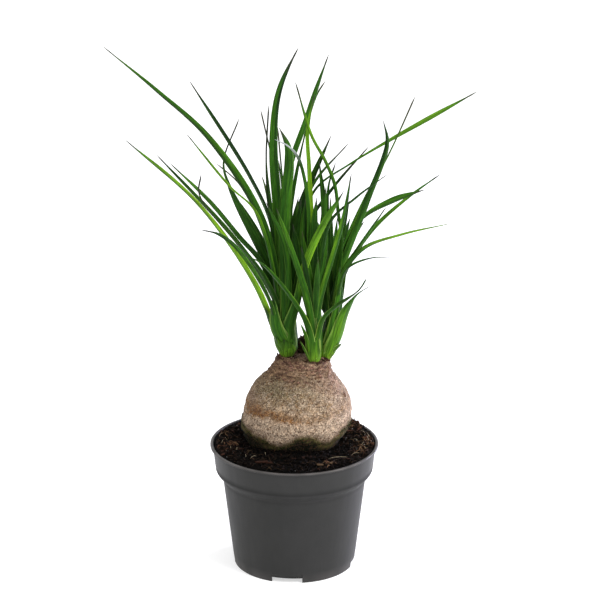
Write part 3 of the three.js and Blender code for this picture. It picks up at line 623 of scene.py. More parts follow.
class Nodes:
    """A material and short ways to add nodes to it."""

    def __init__(self, name):
        self.material = bpy.data.materials.new(name)
        self.material.use_nodes = True
        self.tree = self.material.node_tree
        self.tree.nodes.clear()
        self.shader = self.tree.nodes.new("ShaderNodeBsdfPrincipled")
        surface = self.tree.nodes.new("ShaderNodeOutputMaterial").inputs["Surface"]
        put(self.tree, surface, self.shader.outputs["BSDF"])
        self.place = add_node(self.tree, "ShaderNodeTexCoord", "Object")

    def attribute(self, name, output="Fac"):
        return add_node(self.tree, "ShaderNodeAttribute", output, attribute_name=name)

    def noise(self, scale, detail, roughness, place=None):
        place = self.place if place is None else place
        values = {"Vector": place, "Scale": scale, "Detail": detail, "Roughness": roughness}
        return add_node(self.tree, "ShaderNodeTexNoise", "Fac", values)

    def stretched(self, factors):
        """The place, with noise over it drawn out where a factor is small."""
        return add_node(self.tree, "ShaderNodeMapping", "Vector", {"Vector": self.place, "Scale": factors})

    def cells(self, scale):
        values = {"Vector": self.place, "Scale": scale}
        return add_node(self.tree, "ShaderNodeTexVoronoi", "Distance", values)

    def math(self, operation, *numbers):
        return add_node(self.tree, "ShaderNodeMath", "Value", dict(enumerate(numbers)), operation=operation)

    def range(self, *numbers):
        return add_range(self.tree, *numbers)

    def blend(self, factor, first, second, kind="MIX"):
        """From the first colour to the second by the factor. The inputs of colours are 6 and 7."""
        values = {0: factor, 6: first, 7: second}
        return add_node(self.tree, "ShaderNodeMix", 2, values, data_type="RGBA", blend_type=kind)

    def times(self, first, second):
        return self.blend(1.0, first, second, "MULTIPLY")

    def tinted(self, *shades):
        """The piece's own colour, times each of the shades."""
        color = self.attribute("tint", "Color")
        for shade in shades:
            color = self.times(color, shade)
        return color

    def finish(self, color, roughness, specular, height=None, strength=0.0, depth=0.0):
        """The material by its looks and, for bumps, their heights, strength and depth in millimetres."""
        looks = {"Base Color": color, "Roughness": roughness, "Specular IOR Level": specular}
        if height is not None:
            bumps = {"Height": height, "Strength": strength, "Distance": depth * MM}
            looks["Normal"] = add_node(self.tree, "ShaderNodeBump", "Normal", bumps)
        for label, value in looks.items():
            put(self.tree, self.shader.inputs[label], value)
        return self.material


def leaf_material():
    """Satin green with fine veins and streaks along the blade, and dull dry tips."""
    n = Nodes("leaf")
    grain = n.attribute("grain", "Vector")
    veins = n.math("SINE", n.math("MULTIPLY", n.attribute("across"), FULL_TURN / VEIN_SPACING))
    streaks = n.noise(1.0, 4, 0.7, grain)
    broad = n.noise(0.22, 2, 0.5, grain)
    shade = n.math("MULTIPLY", n.range(streaks, 0.38, 0.62, 0.52, 1.55), n.range(veins, -1, 1, 0.93, 1.07))
    color = n.tinted(shade)
    color = n.blend(n.range(broad, 0.5, 0.66, 0, 0.6), color, n.times(color, LEAF_GOLD_SHIFT))
    roughness = n.math("ADD", n.range(streaks, 0.3, 0.7, 0.42, 0.58), n.attribute("dry"))
    height = n.math("ADD", n.math("MULTIPLY", veins, 0.5), streaks)
    return n.finish(color, roughness, 0.045, height, 0.4, 0.12)


def bark_material():
    """Corky bark: dark and rusty specks in a pale ground, with fine pits and cracks."""
    n = Nodes("bark")
    coarse = n.noise(300, 5, 0.7)
    fine = n.noise(740, 4, 0.8)
    pits = n.cells(820)
    ground = n.tinted(
        n.range(coarse, 0.32, 0.68, 0.62, 1.42),
        n.range(n.noise(1500, 3, 0.7), 0.36, 0.64, 0.62, 1.4),
        n.range(pits, 0.1, 0.65, 1.3, 0.62),
    )
    pale = n.range(n.noise(980, 3, 0.75), 0.52, 0.62, 0, 0.55)
    color = n.blend(n.math("MULTIPLY", pale, n.attribute("clean")), ground, BARK_CLEAN)
    specks = n.range(fine, 0.54, 0.58, 0, 0.92)
    color = n.blend(specks, color, BARK_BROWN * 0.8)
    color = n.blend(n.range(n.noise(520, 4, 0.75), 0.57, 0.66, 0, 0.5), color, BARK_RUST)
    height = n.math("ADD", n.math("MULTIPLY", pits, 0.5), coarse)
    height = n.math("SUBTRACT", height, n.math("MULTIPLY", specks, 0.6))
    return n.finish(color, n.range(fine, 0.3, 0.7, 0.95, 0.75), 0.15, height, 0.8, 0.6)


def soil_material():
    """Damp peat: nearly black, with brown crumbs and a weak wet gloss."""
    n = Nodes("peat")
    crumbs = n.noise(900, 5, 0.75)
    patches = n.noise(120, 3, 0.6)
    color = n.tinted(n.range(crumbs, 0.3, 0.72, 0.35, 1.9), n.range(patches, 0.3, 0.7, 0.75, 1.3))
    return n.finish(color, n.range(crumbs, 0.35, 0.65, 0.95, 0.75), 0.06, crumbs, 0.9, 0.6)


def fibre_material():
    """Wood chips and root fibres, finely streaked."""
    n = Nodes("fibre")
    streaks = n.noise(1500, 4, 0.7)
    color = n.tinted(n.range(streaks, 0.3, 0.7, 0.55, 1.5))
    return n.finish(color, n.range(streaks, 0.3, 0.7, 0.65, 0.9), 0.1, streaks, 0.6, 0.2)


def pot_material():
    """Dark grey moulded plastic with a dull sheen and faint vertical rubbing, paler along the lip and the
    foot with rubbed wear and a painted highlight on the lip, and painted shade under the collar.
    """
    n = Nodes("pot_plastic")
    rubbing = n.noise(160, 5, 0.7, n.stretched((1, 1, 0.12)))
    sheltered = n.attribute("sheltered")
    color = n.blend(n.range(n.noise(45, 4, 0.6), 0.35, 0.7, 0, 1), POT_DARK, POT_LIGHT)
    color = n.blend(n.range(rubbing, 0.6, 0.8, 0, 0.3), color, POT_RUBBED)
    # Paler along the lip, rubbed wear and a painted highlight, and at the foot, rubbed wear
    color = n.blend(n.math("MULTIPLY", n.attribute("worn"), 0.8), color, POT_WORN_AND_HIGHLIGHT)
    # Painted shade under the collar, darkest along its edge, and a little on the body below
    color = n.blend(sheltered, color, POT_PAINTED_SHADE)
    roughness = n.math("ADD", n.range(rubbing, 0.3, 0.75, 0.4, 0.52), n.math("MULTIPLY", sheltered, 0.45))
    height = n.math("ADD", n.math("MULTIPLY", n.noise(2600, 3, 0.6), 0.35), rubbing)
    return n.finish(color, roughness, 0.26, height, 0.12, 0.3)


# The pot


def pot_radius(height):
    """The pot's outer radius by height: straight body, rounded shoulder, straight collar."""
    if height <= BODY_TOP_HEIGHT:
        return FOOT_RADIUS + (BODY_TOP_RADIUS - FOOT_RADIUS) * height / BODY_TOP_HEIGHT
    if height <= COLLAR_LOW_HEIGHT:
        share = float(smooth(BODY_TOP_HEIGHT, COLLAR_LOW_HEIGHT, height))
        return BODY_TOP_RADIUS + (COLLAR_LOW_RADIUS - BODY_TOP_RADIUS) * share
    share = (height - COLLAR_LOW_HEIGHT) / (POT_HEIGHT - COLLAR_LOW_HEIGHT)
    return COLLAR_LOW_RADIUS + (COLLAR_TOP_RADIUS - COLLAR_LOW_RADIUS) * share


def pot_inside(height, gap=0.0):
    """The inner radius of the pot's wall at a height, less a gap."""
    return pot_radius(height) - WALL - gap


def rounding(x, z, radius, start, stop, steps):
    """Points of a rounding in the profile about its middle, from one angle in degrees to another."""
    angles = np.linspace(start, stop, steps) * DEGREE
    return [(x + radius * math.cos(angle), z + radius * math.sin(angle)) for angle in angles]


def pot_profile():
    """Radius and height of the wall, from the inside of the foot ring over the lip to the floor's top."""
    lip_low = POT_HEIGHT - LIP_THICKNESS
    foot_inside = FOOT_RADIUS - WALL + FOOT_INNER_ROUNDING
    under_lip = pot_radius(lip_low) + UNDER_LIP_ROUNDING
    lip_inside = RIM_RADIUS - LIP_WIDTH + LIP_INNER_ROUNDING
    outside = [(pot_radius(height), height) for height in OUTSIDE_HEIGHTS]
    return [
        (pot_inside(FLOOR_UNDERSIDE), FLOOR_UNDERSIDE),
        *rounding(foot_inside, FOOT_INNER_ROUNDING, FOOT_INNER_ROUNDING, 180, 270, 3),
        *rounding(FOOT_RADIUS - FOOT_ROUNDING, FOOT_ROUNDING, FOOT_ROUNDING, 270, 350, 4),
        *outside,
        (pot_radius(lip_low), lip_low - UNDER_LIP_ROUNDING - 0.2),
        *rounding(under_lip, lip_low - UNDER_LIP_ROUNDING, UNDER_LIP_ROUNDING, 180, 90, 3),
        *rounding(RIM_RADIUS - LIP_ROUNDING, lip_low + LIP_ROUNDING, LIP_ROUNDING, -90, 0, 4),
        *rounding(RIM_RADIUS - LIP_ROUNDING, POT_HEIGHT - LIP_ROUNDING, LIP_ROUNDING, 0, 90, 5),
        *rounding(lip_inside, POT_HEIGHT - LIP_INNER_ROUNDING, LIP_INNER_ROUNDING, 90, 180, 4),
        (RIM_RADIUS - LIP_WIDTH, lip_low),
        *[(radius - WALL, height) for radius, height in reversed(outside) if height > FLOOR_TOP],
        (pot_inside(FLOOR_TOP), FLOOR_TOP),
    ]


def pot_columns():
    """The turns of the pot's columns, and whether each is in a notch. The edge of a notch has two."""
    half = math.asin(NOTCH_WIDTH / 2 / FOOT_RADIUS)
    pitch = FULL_TURN / NOTCH_COUNT
    columns = []
    for index in range(NOTCH_COUNT):
        middle = FIRST_NOTCH_COMPASS * DEGREE + index * pitch
        notch = np.linspace(middle - half, middle + half, NOTCH_SIDES)
        span = np.linspace(middle + half, middle - half + pitch, POT_SIDES // NOTCH_COUNT - NOTCH_SIDES)
        columns += [(turn, True) for turn in notch] + [(turn, False) for turn in span]
    return columns


def make_pot_wall(material):
    """The wall as one closed ring of profiles, notched at the foot."""
    profile, columns = pot_profile(), pot_columns()
    slant = (BODY_TOP_RADIUS - FOOT_RADIUS) / BODY_TOP_HEIGHT
    points = []
    for turn, notched in columns:
        for radius, height in profile:
            lift = max(0, NOTCH_HEIGHT - height) if notched else 0
            points.append((radius + lift * slant) * outwards(turn) + (0, 0, height + lift))
    points = np.array(points)
    sheet = grid_faces(len(columns) + 1, len(profile), closed=False)
    faces = [[corner % len(points) for corner in face[::-1]] for face in sheet]
    wear_and_highlight, shelter = pot_wear_and_highlight(points), pot_painted_shade(points[:, 2])
    wall = add_piece("pot_wall", points, faces, material, "pot", "pot", worn=wear_and_highlight, sheltered=shelter)
    merge_close(wall)


def circle(x, y, radius, turns):
    """The points of a circle in the plane."""
    return [Vector((x + radius * math.cos(turn), y + radius * math.sin(turn))) for turn in turns]


def make_pot_floor(material):
    """The floor with its ring of drain holes. Its edge reaches a little way into the wall."""
    rim = circle(0, 0, pot_inside(FLOOR_UNDERSIDE) + FLOOR_OVERLAP, [turn for turn, _ in pot_columns()])
    loops = [[spot for spot, after in zip(rim, rim[1:] + rim[:1]) if (after - spot).length > 1e-4]]
    around = np.linspace(0, FULL_TURN, DRAIN_HOLE_SIDES, endpoint=False)
    for hole in range(DRAIN_HOLE_COUNT):
        x, y, _ = DRAIN_HOLE_CIRCLE * outwards((hole + 0.5) / DRAIN_HOLE_COUNT * FULL_TURN)
        loops.append(circle(x, y, DRAIN_HOLE_RADIUS, around))
    flat, edges = [], []
    for loop in loops:
        start = len(flat)
        flat += loop
        edges += [(start + i, start + (i + 1) % len(loop)) for i in range(len(loop))]
    spots, _, found, _, _, _ = delaunay_2d_cdt(flat, edges, [], 2, 1e-6)
    triangles = []
    for a, b, c in found:
        upwards = (spots[b] - spots[a]).cross(spots[c] - spots[a]) > 0
        triangles.append((a, b, c) if upwards else (c, b, a))
    count = len(spots)
    points = [(*spot, height) for height in (FLOOR_UNDERSIDE, FLOOR_TOP) for spot in spots]
    faces = [t[::-1] for t in triangles] + [[corner + count for corner in t] for t in triangles]
    sides = [(a, b) for t in triangles for a, b in zip(t, (*t[1:], t[0]))]
    shared = set(sides)
    faces += [(a, b, b + count, a + count) for a, b in sides if (b, a) not in shared]
    looks = {"worn": 0.0, "sheltered": 0.0}
    add_piece("pot_floor", points, faces, material, "pot", "pot", smooth_shading=False, **looks)


def merge_close(piece):
    """Joins the points of a piece that lie on each other, which also drops faces without area."""
    bm = bmesh.new()
    bm.from_mesh(piece.data)
    bmesh.ops.remove_doubles(bm, verts=bm.verts, dist=0.001 * MM)
    bmesh.ops.dissolve_degenerate(bm, edges=bm.edges, dist=0.0001 * MM)
    bm.to_mesh(piece.data)
    bm.free()


def pot_wear_and_highlight(points):
    """Where the plastic is paler: along the lip's edge, rubbed wear with a painted highlight on it, and at
    the foot, rubbed wear.
    """
    height, reach = points[:, 2], np.hypot(points[:, 0], points[:, 1])
    lip = hump(height, POT_HEIGHT, 0.8) * smooth(COLLAR_TOP_RADIUS - 1, RIM_RADIUS, reach)
    foot = 0.35 * hump(height, 0, 1.6)
    spread = 0.7 + 0.6 * clouds(points, 9.0, seed=3.1)
    return np.clip((0.75 * lip + foot) * spread, 0, 1)


def pot_painted_shade(height):
    """Where the plastic has painted shade and is duller: under the collar, most along its edge, and a little
    below.
    """
    under = smooth(BODY_TOP_HEIGHT - 2, BODY_TOP_HEIGHT + 0.5, height)
    shoulder = 0.34 * under * smooth(COLLAR_LOW_HEIGHT + 1, COLLAR_LOW_HEIGHT - 0.5, height)
    return shoulder + 0.16 * (1 - under) + 0.4 * hump(height, COLLAR_LOW_HEIGHT + 0.2, 0.5)


# The soil


def soil_height(x, y):
    """The soil's level: a mound against the trunk's front and a heap at the back right."""
    level = SOIL_LEVEL + SOIL_EDGE_RISE * smooth(42, 53, np.hypot(x, y))
    for swell in (FRONT_MOUND, BACK_HEAP):
        away = (x - swell["middle"][0]) ** 2 + (y - swell["middle"][1]) ** 2
        level = level + swell["rise"] * np.exp(-away / (2 * swell["spread"] ** 2))
    return level


def soil_top(x, y):
    """The soil's surface with its lumps and crumbs."""
    spot = np.stack([x, y, np.zeros_like(x)], -1)
    lumps = 1.5 * clouds(spot, 8.5, 3, 7.0)
    crumbs = 0.95 * np.abs(clouds(spot, 2.1, 2, 2.0)) + 0.45 * clouds(spot, 0.95, seed=5.0)
    return soil_height(x, y) + lumps + crumbs - 0.5


def soil_light(x, y):
    """How light the soil's colour is: dark before the trunk, lighter towards the rim at both sides."""
    dryness = 0.37 + 0.63 * smooth(24, 48, np.abs(x) + 0.35 * y)
    return dryness * (1 + 0.22 * smooth(-28, -42, x))


def make_soil(material):
    """The soil: its crumbly surface, and the plain side and bottom against the pot."""
    turns = np.linspace(0, FULL_TURN, SOIL_SIDES, endpoint=False)
    ring = np.stack([np.cos(turns), np.sin(turns)])
    rings = []
    for share in np.linspace(0.004, 1, SOIL_RINGS):
        x, y = pot_inside(SOIL_LEVEL, SOIL_GAP) * share * ring
        rings.append(np.stack([x, y, soil_top(x, y)], -1))
    for height in SOIL_SIDE_HEIGHTS:
        x, y = pot_inside(height, SOIL_GAP) * ring
        rings.append(np.stack([x, y, np.full_like(x, height)], -1))
    points = np.concatenate(rings)
    faces = [face[::-1] for face in solid_faces(len(rings), SOIL_SIDES)]
    brown = smooth(0.0, 0.5, clouds(points, 5.0, 3, 11.0)) * 0.8 + 0.15 * clouds(points, 1.3, seed=13.0)
    tint = mix(PEAT_DARK, PEAT_BROWN, brown) * soil_light(points[:, 0], points[:, 1])[:, None]
    add_piece("soil_body", points, faces, material, "soil", "soil", tint=tint)


def turned(points, rng, flat=1.0):
    """The points turned at random: by any angle about Z, and by about flat radians about X and Y."""
    yaw = rng.uniform(0, FULL_TURN)
    pitch, roll = rng.gauss(0, flat), rng.gauss(0, flat)
    cy, sy, cp, sp, cr, sr = (f(a) for a in (yaw, pitch, roll) for f in (math.cos, math.sin))
    about_z = np.array(((cy, -sy, 0), (sy, cy, 0), (0, 0, 1)))
    about_y = np.array(((cp, 0, sp), (0, 1, 0), (-sp, 0, cp)))
    about_x = np.array(((1, 0, 0), (0, cr, -sr), (0, sr, cr)))
    return points @ (about_z @ about_y @ about_x).T


def crumb(rng, size):
    """A small irregular lump."""
    points = CRUMB_POINTS * np.array([rng.uniform(0.6, 1.25) for _ in CRUMB_POINTS])[:, None]
    points = points * np.array((1, rng.uniform(0.6, 0.95), rng.uniform(0.45, 0.8))) * size / 2
    return turned(points, rng, 0.6), CRUMB_FACES


def chip(rng, length, wide, thick, steps=5):
    """A flat splinter with blunt broken ends."""
    points = []
    for step in range(steps):
        share = step / (steps - 1)
        half = wide / 2 * (0.55 + 0.45 * math.sin(math.pi * (0.15 + 0.7 * share))) * rng.uniform(0.75, 1.15)
        x = (share - 0.5) * length + rng.uniform(-0.05, 0.05) * length
        bow = 0.08 * length * (share - 0.5) ** 2 * rng.uniform(0.5, 1.5)
        low, high = bow - thick / 2, bow + thick / 2
        points += [(x, -half, low), (x, half, low), (x, half * 0.9, high), (x, -half * 0.9, high)]
    return turned(np.array(points), rng, 0.22), solid_faces(steps, 4)


def tube(path, radii, sides=5):
    """A closed tube along a path."""
    path = np.asarray(path, float)
    ahead = unit(np.gradient(path, axis=0))
    side = unit(np.cross(ahead, (0.13, 0.21, 0.97)))
    up = np.cross(side, ahead)
    turn = np.linspace(0, FULL_TURN, sides, endpoint=False)[None, :, None]
    rings = np.cos(turn) * side[:, None] + np.sin(turn) * up[:, None]
    rings = path[:, None] + np.asarray(radii)[:, None, None] * rings
    return rings.reshape(-1, 3), solid_faces(len(path), sides)


def fibre(rng, x, y, length, radius, compass=None, rise=0.6, bent=0.9, steps=9):
    """A thin bent root or peat fibre that lies on the soil."""
    heading = rng.uniform(0, FULL_TURN) if compass is None else compass * DEGREE
    bend = rng.gauss(0, bent)
    path = []
    for step in range(steps):
        share = step / (steps - 1)
        turn = heading + bend * (share - 0.5)
        lift = rise * math.sin(math.pi * share) * rng.uniform(0.8, 1.2)
        path.append((x, y, float(soil_height(x, y)) + 0.55 + lift))
        x += length / steps * math.cos(turn)
        y += length / steps * math.sin(turn)
    points, faces = tube(path, radius * (1 - 0.5 * np.linspace(-1, 1, steps) ** 2))
    shrink = np.minimum(1, LITTER_LIMIT / np.maximum(np.hypot(points[:, 0], points[:, 1]), 1e-6))
    return points * np.stack([shrink, shrink, np.ones_like(shrink)], -1), faces


def in_trunk(x, y, height, margin=0.0):
    """True where a spot lies inside the trunk base at that height."""
    middle, half = trunk_ring(height)
    return math.hypot(x - middle, (y - TRUNK_MIDDLE_DEPTH) / TRUNK_DEPTH_RATIO) < half + margin


def open_spot(rng, least=0.0):
    """A random spot on the open soil, outside the trunk and, with least, away from the pot's middle."""
    while True:
        radius = LITTER_REACH * math.sqrt(rng.uniform(least, 1))
        x, y, _ = radius * outwards(rng.uniform(0, FULL_TURN))
        if not in_trunk(x, y, 92, 1.0):
            return x, y


def laid(points, x, y, lift):
    """A shape's points moved to a spot on the soil, and lifted by so much."""
    return points + (x, y, float(soil_height(x, y)) + lift)


def crumbs(rng):
    """Crumbs of peat, most of them small."""
    for _ in range(CRUMB_COUNT):
        x, y = open_spot(rng)
        size = min(0.7 + rng.expovariate(1.6), 3.6)
        points, faces = crumb(rng, size)
        points = laid(points, x, y, rng.uniform(-0.1, 0.5) + 0.2 * size)
        tint = mix(PEAT_DARK, PEAT_BROWN, 1.3 * rng.random()) * rng.uniform(0.7, 1.6)
        yield points, faces, tint * soil_light(x, y)


def chips(rng):
    """Chips of wood, and then the ones that the picture shows."""
    for _ in range(CHIP_COUNT):
        x, y = open_spot(rng, 0.3)
        points, faces = chip(rng, rng.uniform(1.8, 5), rng.uniform(0.7, 1.7), rng.uniform(0.3, 0.6))
        points = laid(points, x, y, rng.uniform(0.2, 0.9))
        tint = mix(PEAT_BROWN, CHIP_RED, rng.random() ** 2.2) * rng.uniform(0.5, 1.05)
        yield points, faces, tint * soil_light(x, y)
    for x, y, length, wide, compass, kind in SHOWN_CHIPS:
        points, faces = chip(random.Random(5), length, wide, 0.8)
        along = points[-1] - points[0]
        turn = compass * DEGREE - math.atan2(along[1], along[0])
        about_z = np.array((outwards(turn), outwards(turn + math.pi / 2), (0, 0, 1)))
        yield laid(points @ about_z, x, y, 1.0), faces, CHIP_RED * 0.4 if kind == "red" else CHIP_TAN * 0.5


def fibres(rng):
    """Loose fibres, the reddish tufts and the pale threads."""
    for _ in range(FIBRE_COUNT):
        x, y = open_spot(rng, 0.35)
        tint = mix(PEAT_BROWN, CHIP_TAN, rng.random() ** 2.2) * soil_light(x, y)
        yield *fibre(rng, x, y, rng.uniform(3, 9), rng.uniform(0.1, 0.22)), tint
    for x, y, count, spread in FIBRE_TUFTS:
        for _ in range(count):
            spot = (x + rng.gauss(0, spread / 2), y + rng.gauss(0, spread / 2))
            if math.hypot(*spot) > TUFT_REACH:
                continue
            tint = mix(CHIP_RED, CHIP_TAN, rng.random() ** 1.3) * rng.uniform(0.45, 1.25)
            yield *fibre(rng, *spot, rng.uniform(2.5, 7), rng.uniform(0.16, 0.34), rise=1.0), tint
    for x, y, length, compass, radius in SHOWN_THREADS:
        yield *fibre(rng, x, y, length, radius, compass, rise=1.0, bent=0.35), THREAD_PALE


def specks(rng):
    """Pale specks, every third one among the fibres at the right."""
    for index in range(SPECK_COUNT):
        x, y = open_spot(rng, 0.3) if index % 3 else (rng.uniform(30, 52), rng.uniform(-20, 12))
        points, faces = crumb(rng, rng.uniform(0.45, 1.15))
        tint = SPECK_PALE * rng.uniform(0.35, 1.1) * min(1.0, soil_light(x, y) ** 1.5)
        yield laid(points, x, y, 0.8), faces, tint


def make_litter(soil_look, fibre_look):
    """Crumbs, chips, fibres and pale specks that lie loose on the soil."""
    rng = random.Random(LITTER_SEED)
    add_parts("soil_crumbs", crumbs(rng), soil_look, "soil", smooth_shading=False)
    add_parts("soil_chips", chips(rng), fibre_look, "soil", smooth_shading=False)
    add_parts("soil_fibres", fibres(rng), fibre_look, "soil")
    add_parts("soil_specks", specks(rng), fibre_look, "soil", smooth_shading=False)


# The trunk base


def trunk_ring(height):
    """The middle in X and the half width of the trunk base at a height."""
    heights, middles, halves = zip(*TRUNK_RINGS)
    place = np.clip(height, heights[0], heights[-1])
    return smooth_between(place, heights, middles), smooth_between(place, heights, halves)


def trunk_skin(turn, height):
    """The spot of the trunk's surface at a turn and a height."""
    middle, half = trunk_ring(height)
    out = outwards(turn) * (1, TRUNK_DEPTH_RATIO, 0)
    return np.array((middle, TRUNK_MIDDLE_DEPTH, height)) + half * out


def bark_wrinkles(points, height):
    """The ring wrinkles of the neck, from -1 in a groove to 1 on a ridge."""
    wander = clouds(points, 10.0, 2, 21.0)
    slow = 0.5 * np.sin(FULL_TURN * (height + 3.2 * wander) / 3.4)
    return slow + 0.35 * np.sin(FULL_TURN * (height - 2.4 * wander) / 1.9 + 1)


def bark_folds(points, height, turn):
    """The upright folds of the bark below the right head, from 0 to 1."""
    wander = clouds(points, 6.0, 2, 23.0)
    place = hump(height, 145, 6.5) * hump(turn, -0.62, 0.55)
    return np.maximum(0, np.sin(15 * turn - height / 5 + 2.2 * wander)) * place


def from_knot(height, turn):
    """How far a spot of the bark is from the knot."""
    return np.hypot((turn - (KNOT_FRONT - 90) * DEGREE) * KNOT_REACH, height - KNOT_HEIGHT)


def bark_relief(points, turn):
    """How far the bark stands out: swellings, wrinkles round the neck, upright folds, cork and the knot."""
    height = points[:, 2]
    wander = clouds(points, 10.0, 2, 21.0)
    neck = smooth(127, 143, height)
    bands = 0.22 * np.sin(FULL_TURN * (height + 2 * wander) / 6.5) * (1 - neck)
    cork = 0.34 * np.abs(clouds(points, 2.6, 3, 4.0)) + 0.16 * clouds(points, 1.1, 2, 9.0)
    away = from_knot(height, turn)
    knot = 0.9 * hump(away, 2.4, 1.1) - 0.9 * hump(away, 0, 1.5)
    swellings = 0.6 * clouds(points, 15.0, 2, 31.0)
    lines = neck * bark_wrinkles(points, height) + bark_folds(points, height, turn)
    return swellings + lines + bands + cork + knot


def edge_height(edge, front):
    """The height of a mark at each angle round from the front."""
    return np.interp(front, *zip(*edge))


def bark_ground(height, front, drift, patch):
    """The bark's own colours: tan and pale patches, an olive side, pink spots and the bands round it."""
    level = height + 5 * drift
    olive = hump(level, 134, 7) * (0.25 + 0.75 * hump(front, -32, 42))
    pink = hump(level, 137, 8) * hump(front, 62, 26) + 0.6 * hump(level, 126, 5) * hump(front, -75, 16)
    band = hump(height + 2.5 * drift, edge_height(RUSTY_BAND, front), 2.9)
    band = 1.15 * band * (0.25 + 0.75 * smooth(25, -30, front))
    stripe = hump(height + 3 * drift, 118.8, 1.6) * hump(front, -42, 22)
    scar = hump(height + 2 * drift, edge_height(SCAR_LINE, front), 2.2)
    tint = stained(
        BARK_TAN,
        (BARK_PALE, smooth(-0.35, 0.35, patch + 0.3 * np.sin(front * DEGREE))),
        (BARK_PALE * (1.36, 1.36, 1.4), 0.82 * smooth(118, 112, level)),
        (BARK_OLIVE, 0.85 * olive),
        (BARK_PINK, 0.6 * pink),
        (BARK_ORANGE, np.clip(band * (0.85 + 1.8 * patch), 0, 0.9)),
        (BARK_BROWN * 1.3, np.clip(stripe * (0.6 + 1.8 * patch), 0, 0.7)),
        (BARK_BROWN * 1.7, np.clip(scar * (0.35 + 1.2 * patch), 0, 0.55)),
    )
    rings = np.sin(FULL_TURN * (height + 1.4 * drift) / 1.7) * hump(height, 137, 9) * hump(front, -52, 30)
    lighter = 0.12 * hump(level, 143, 6) * smooth(-10, -45, front)
    tint = tint * ((1 + 0.16 * rings) * (1 + lighter))[:, None]
    pale = 0.6 * hump(height + 3 * drift, 123.5, 2.0) * hump(front, -18, 34)
    tint = mix(tint, BARK_PALE * (1.1, 1.08, 1.0), pale)
    return tint * (1 - 0.12 * hump(height, 121, 9) * hump(front, 66, 16))[:, None]


def bark_tint(points, turn):
    """The bark's colour: its ground, painted shade in the neck's grooves and beside its folds, the knot, and
    algae below.
    """
    height, front = points[:, 2], front_degrees(turn)
    drift = clouds(points, 9.0, 3, 41.0)
    patch = clouds(points, 4.0, 3, 43.0)
    neck = smooth(138, 147, height + 5 * drift)
    groove = smooth(0.15, 0.65, -bark_wrinkles(points, height)) * smooth(126, 142, height)
    ragged = height + 1.6 * drift + 1.8 * patch + 0.9 * clouds(points, 1.7, 2, 45.0)
    over = ragged - edge_height(ALGAE_EDGE, front)
    return stained(
        bark_ground(height, front, drift, patch),
        (BARK_BROWN * (1.7, 1.6, 1.3), 0.6 * neck * smooth(-0.3, 0.25, patch)),
        (BARK_PINK * 0.85, 0.45 * neck * smooth(0.0, -0.4, patch)),
        # Painted shade in the neck's grooves, and painted shadow beside each upright fold
        (BARK_BROWN * 0.7, 0.6 * groove * smooth(-0.3, 0.15, drift)),
        (BARK_BROWN * 0.8, 0.75 * smooth(0.25, 0.75, bark_folds(points, height - 1.2, turn))),
        (BARK_PINK * 1.15, 0.7 * smooth(0.3, 0.8, bark_folds(points, height, turn))),
        (BARK_BROWN, 0.8 * hump(from_knot(height, turn), 1.6, 1.3)),
        (BARK_BROWN * 1.4, 0.4 * smooth(6, 1, over)),
        (ALGAE, 0.9 * smooth(3.2, -2.6, over)),
        # Nearly black near the soil: damp dark algae and painted contact shade
        (ALGAE_DARK * 0.6, smooth(2.4, -2.0, ragged - edge_height(DAMP_AND_SHADED_EDGE, front))),
    )


def make_trunk(material):
    """The swollen trunk base with its flat scarred top."""
    levels = [(height, 1.0) for height in np.arange(TRUNK_RINGS[0][0], NECK_TOP + 1e-6, TRUNK_STEP)]
    levels += [(NECK_TOP + 0.6 * (1 - share**2), share) for share in TOP_SHARES]
    turns = np.linspace(0, FULL_TURN, TRUNK_SIDES, endpoint=False)
    rings = []
    for height, share in levels:
        middle, half = trunk_ring(height)
        lumps = np.sin(3 * turns + height / 9) + np.sin(5 * turns - height / 6 + 2)
        radius = half * (1 + TRUNK_LUMPS * lumps) * share
        x = middle + radius * np.cos(turns)
        y = TRUNK_MIDDLE_DEPTH + TRUNK_DEPTH_RATIO * radius * np.sin(turns)
        rings.append(np.stack([x, y, np.full_like(x, height)], -1))
    points = np.concatenate(rings)
    height = points[:, 2]
    turn = np.tile((turns + math.pi) % FULL_TURN - math.pi, len(levels))
    on_top = np.repeat([share < 1 for _, share in levels], TRUNK_SIDES)
    axis = np.stack([trunk_ring(height)[0], np.full_like(height, TRUNK_MIDDLE_DEPTH), height], -1)
    out = unit(points - axis)
    out = np.where(on_top[:, None], 0.3 * out + (0, 0, 1), out)
    front = front_degrees(turn)
    clean = smooth(-1, 3, height - edge_height(ALGAE_EDGE, front)) * (1 - 0.85 * smooth(134, 144, height))
    clean = clean * (1 - 0.6 * hump(height, 119, 3) * smooth(25, -20, front))
    looks = {"tint": bark_tint(points, turn), "clean": clean}
    points = points + out * bark_relief(points, turn)[:, None]
    faces = solid_faces(len(levels), TRUNK_SIDES)
    add_piece("caudex_bark", points, faces, material, "caudex", "caudex", **looks)


def make_roots(material):
    """The stout roots that hold the trunk base in the soil."""
    roots = []
    for index in range(ROOT_COUNT):
        out = outwards((index + 0.4) / ROOT_COUNT * FULL_TURN)
        start = np.array((0, TRUNK_MIDDLE_DEPTH, TRUNK_RINGS[0][0] + 8)) + 6 * out
        down = ROOT_LENGTH * (1 if index % 2 else 0.8)
        knee = start + 10 * out - (0, 0, 0.45 * down)
        tip = start + 13 * out - (0, 0, down)
        t = np.linspace(0, 1, 24)[:, None]
        path = (1 - t) ** 2 * start + 2 * t * (1 - t) * knee + t**2 * tip
        points, faces = tube(path, ROOT_RADIUS * (1 - 0.65 * t[:, 0]), 16)
        points = points + 0.35 * clouds(points, 4.0, 2, 51.0)[:, None] * (1, 1, 0)
        roots.append((points, faces, BARK_PINK * 0.8))
    add_parts("caudex_roots", roots, material, "caudex", node="caudex", clean=0.0)


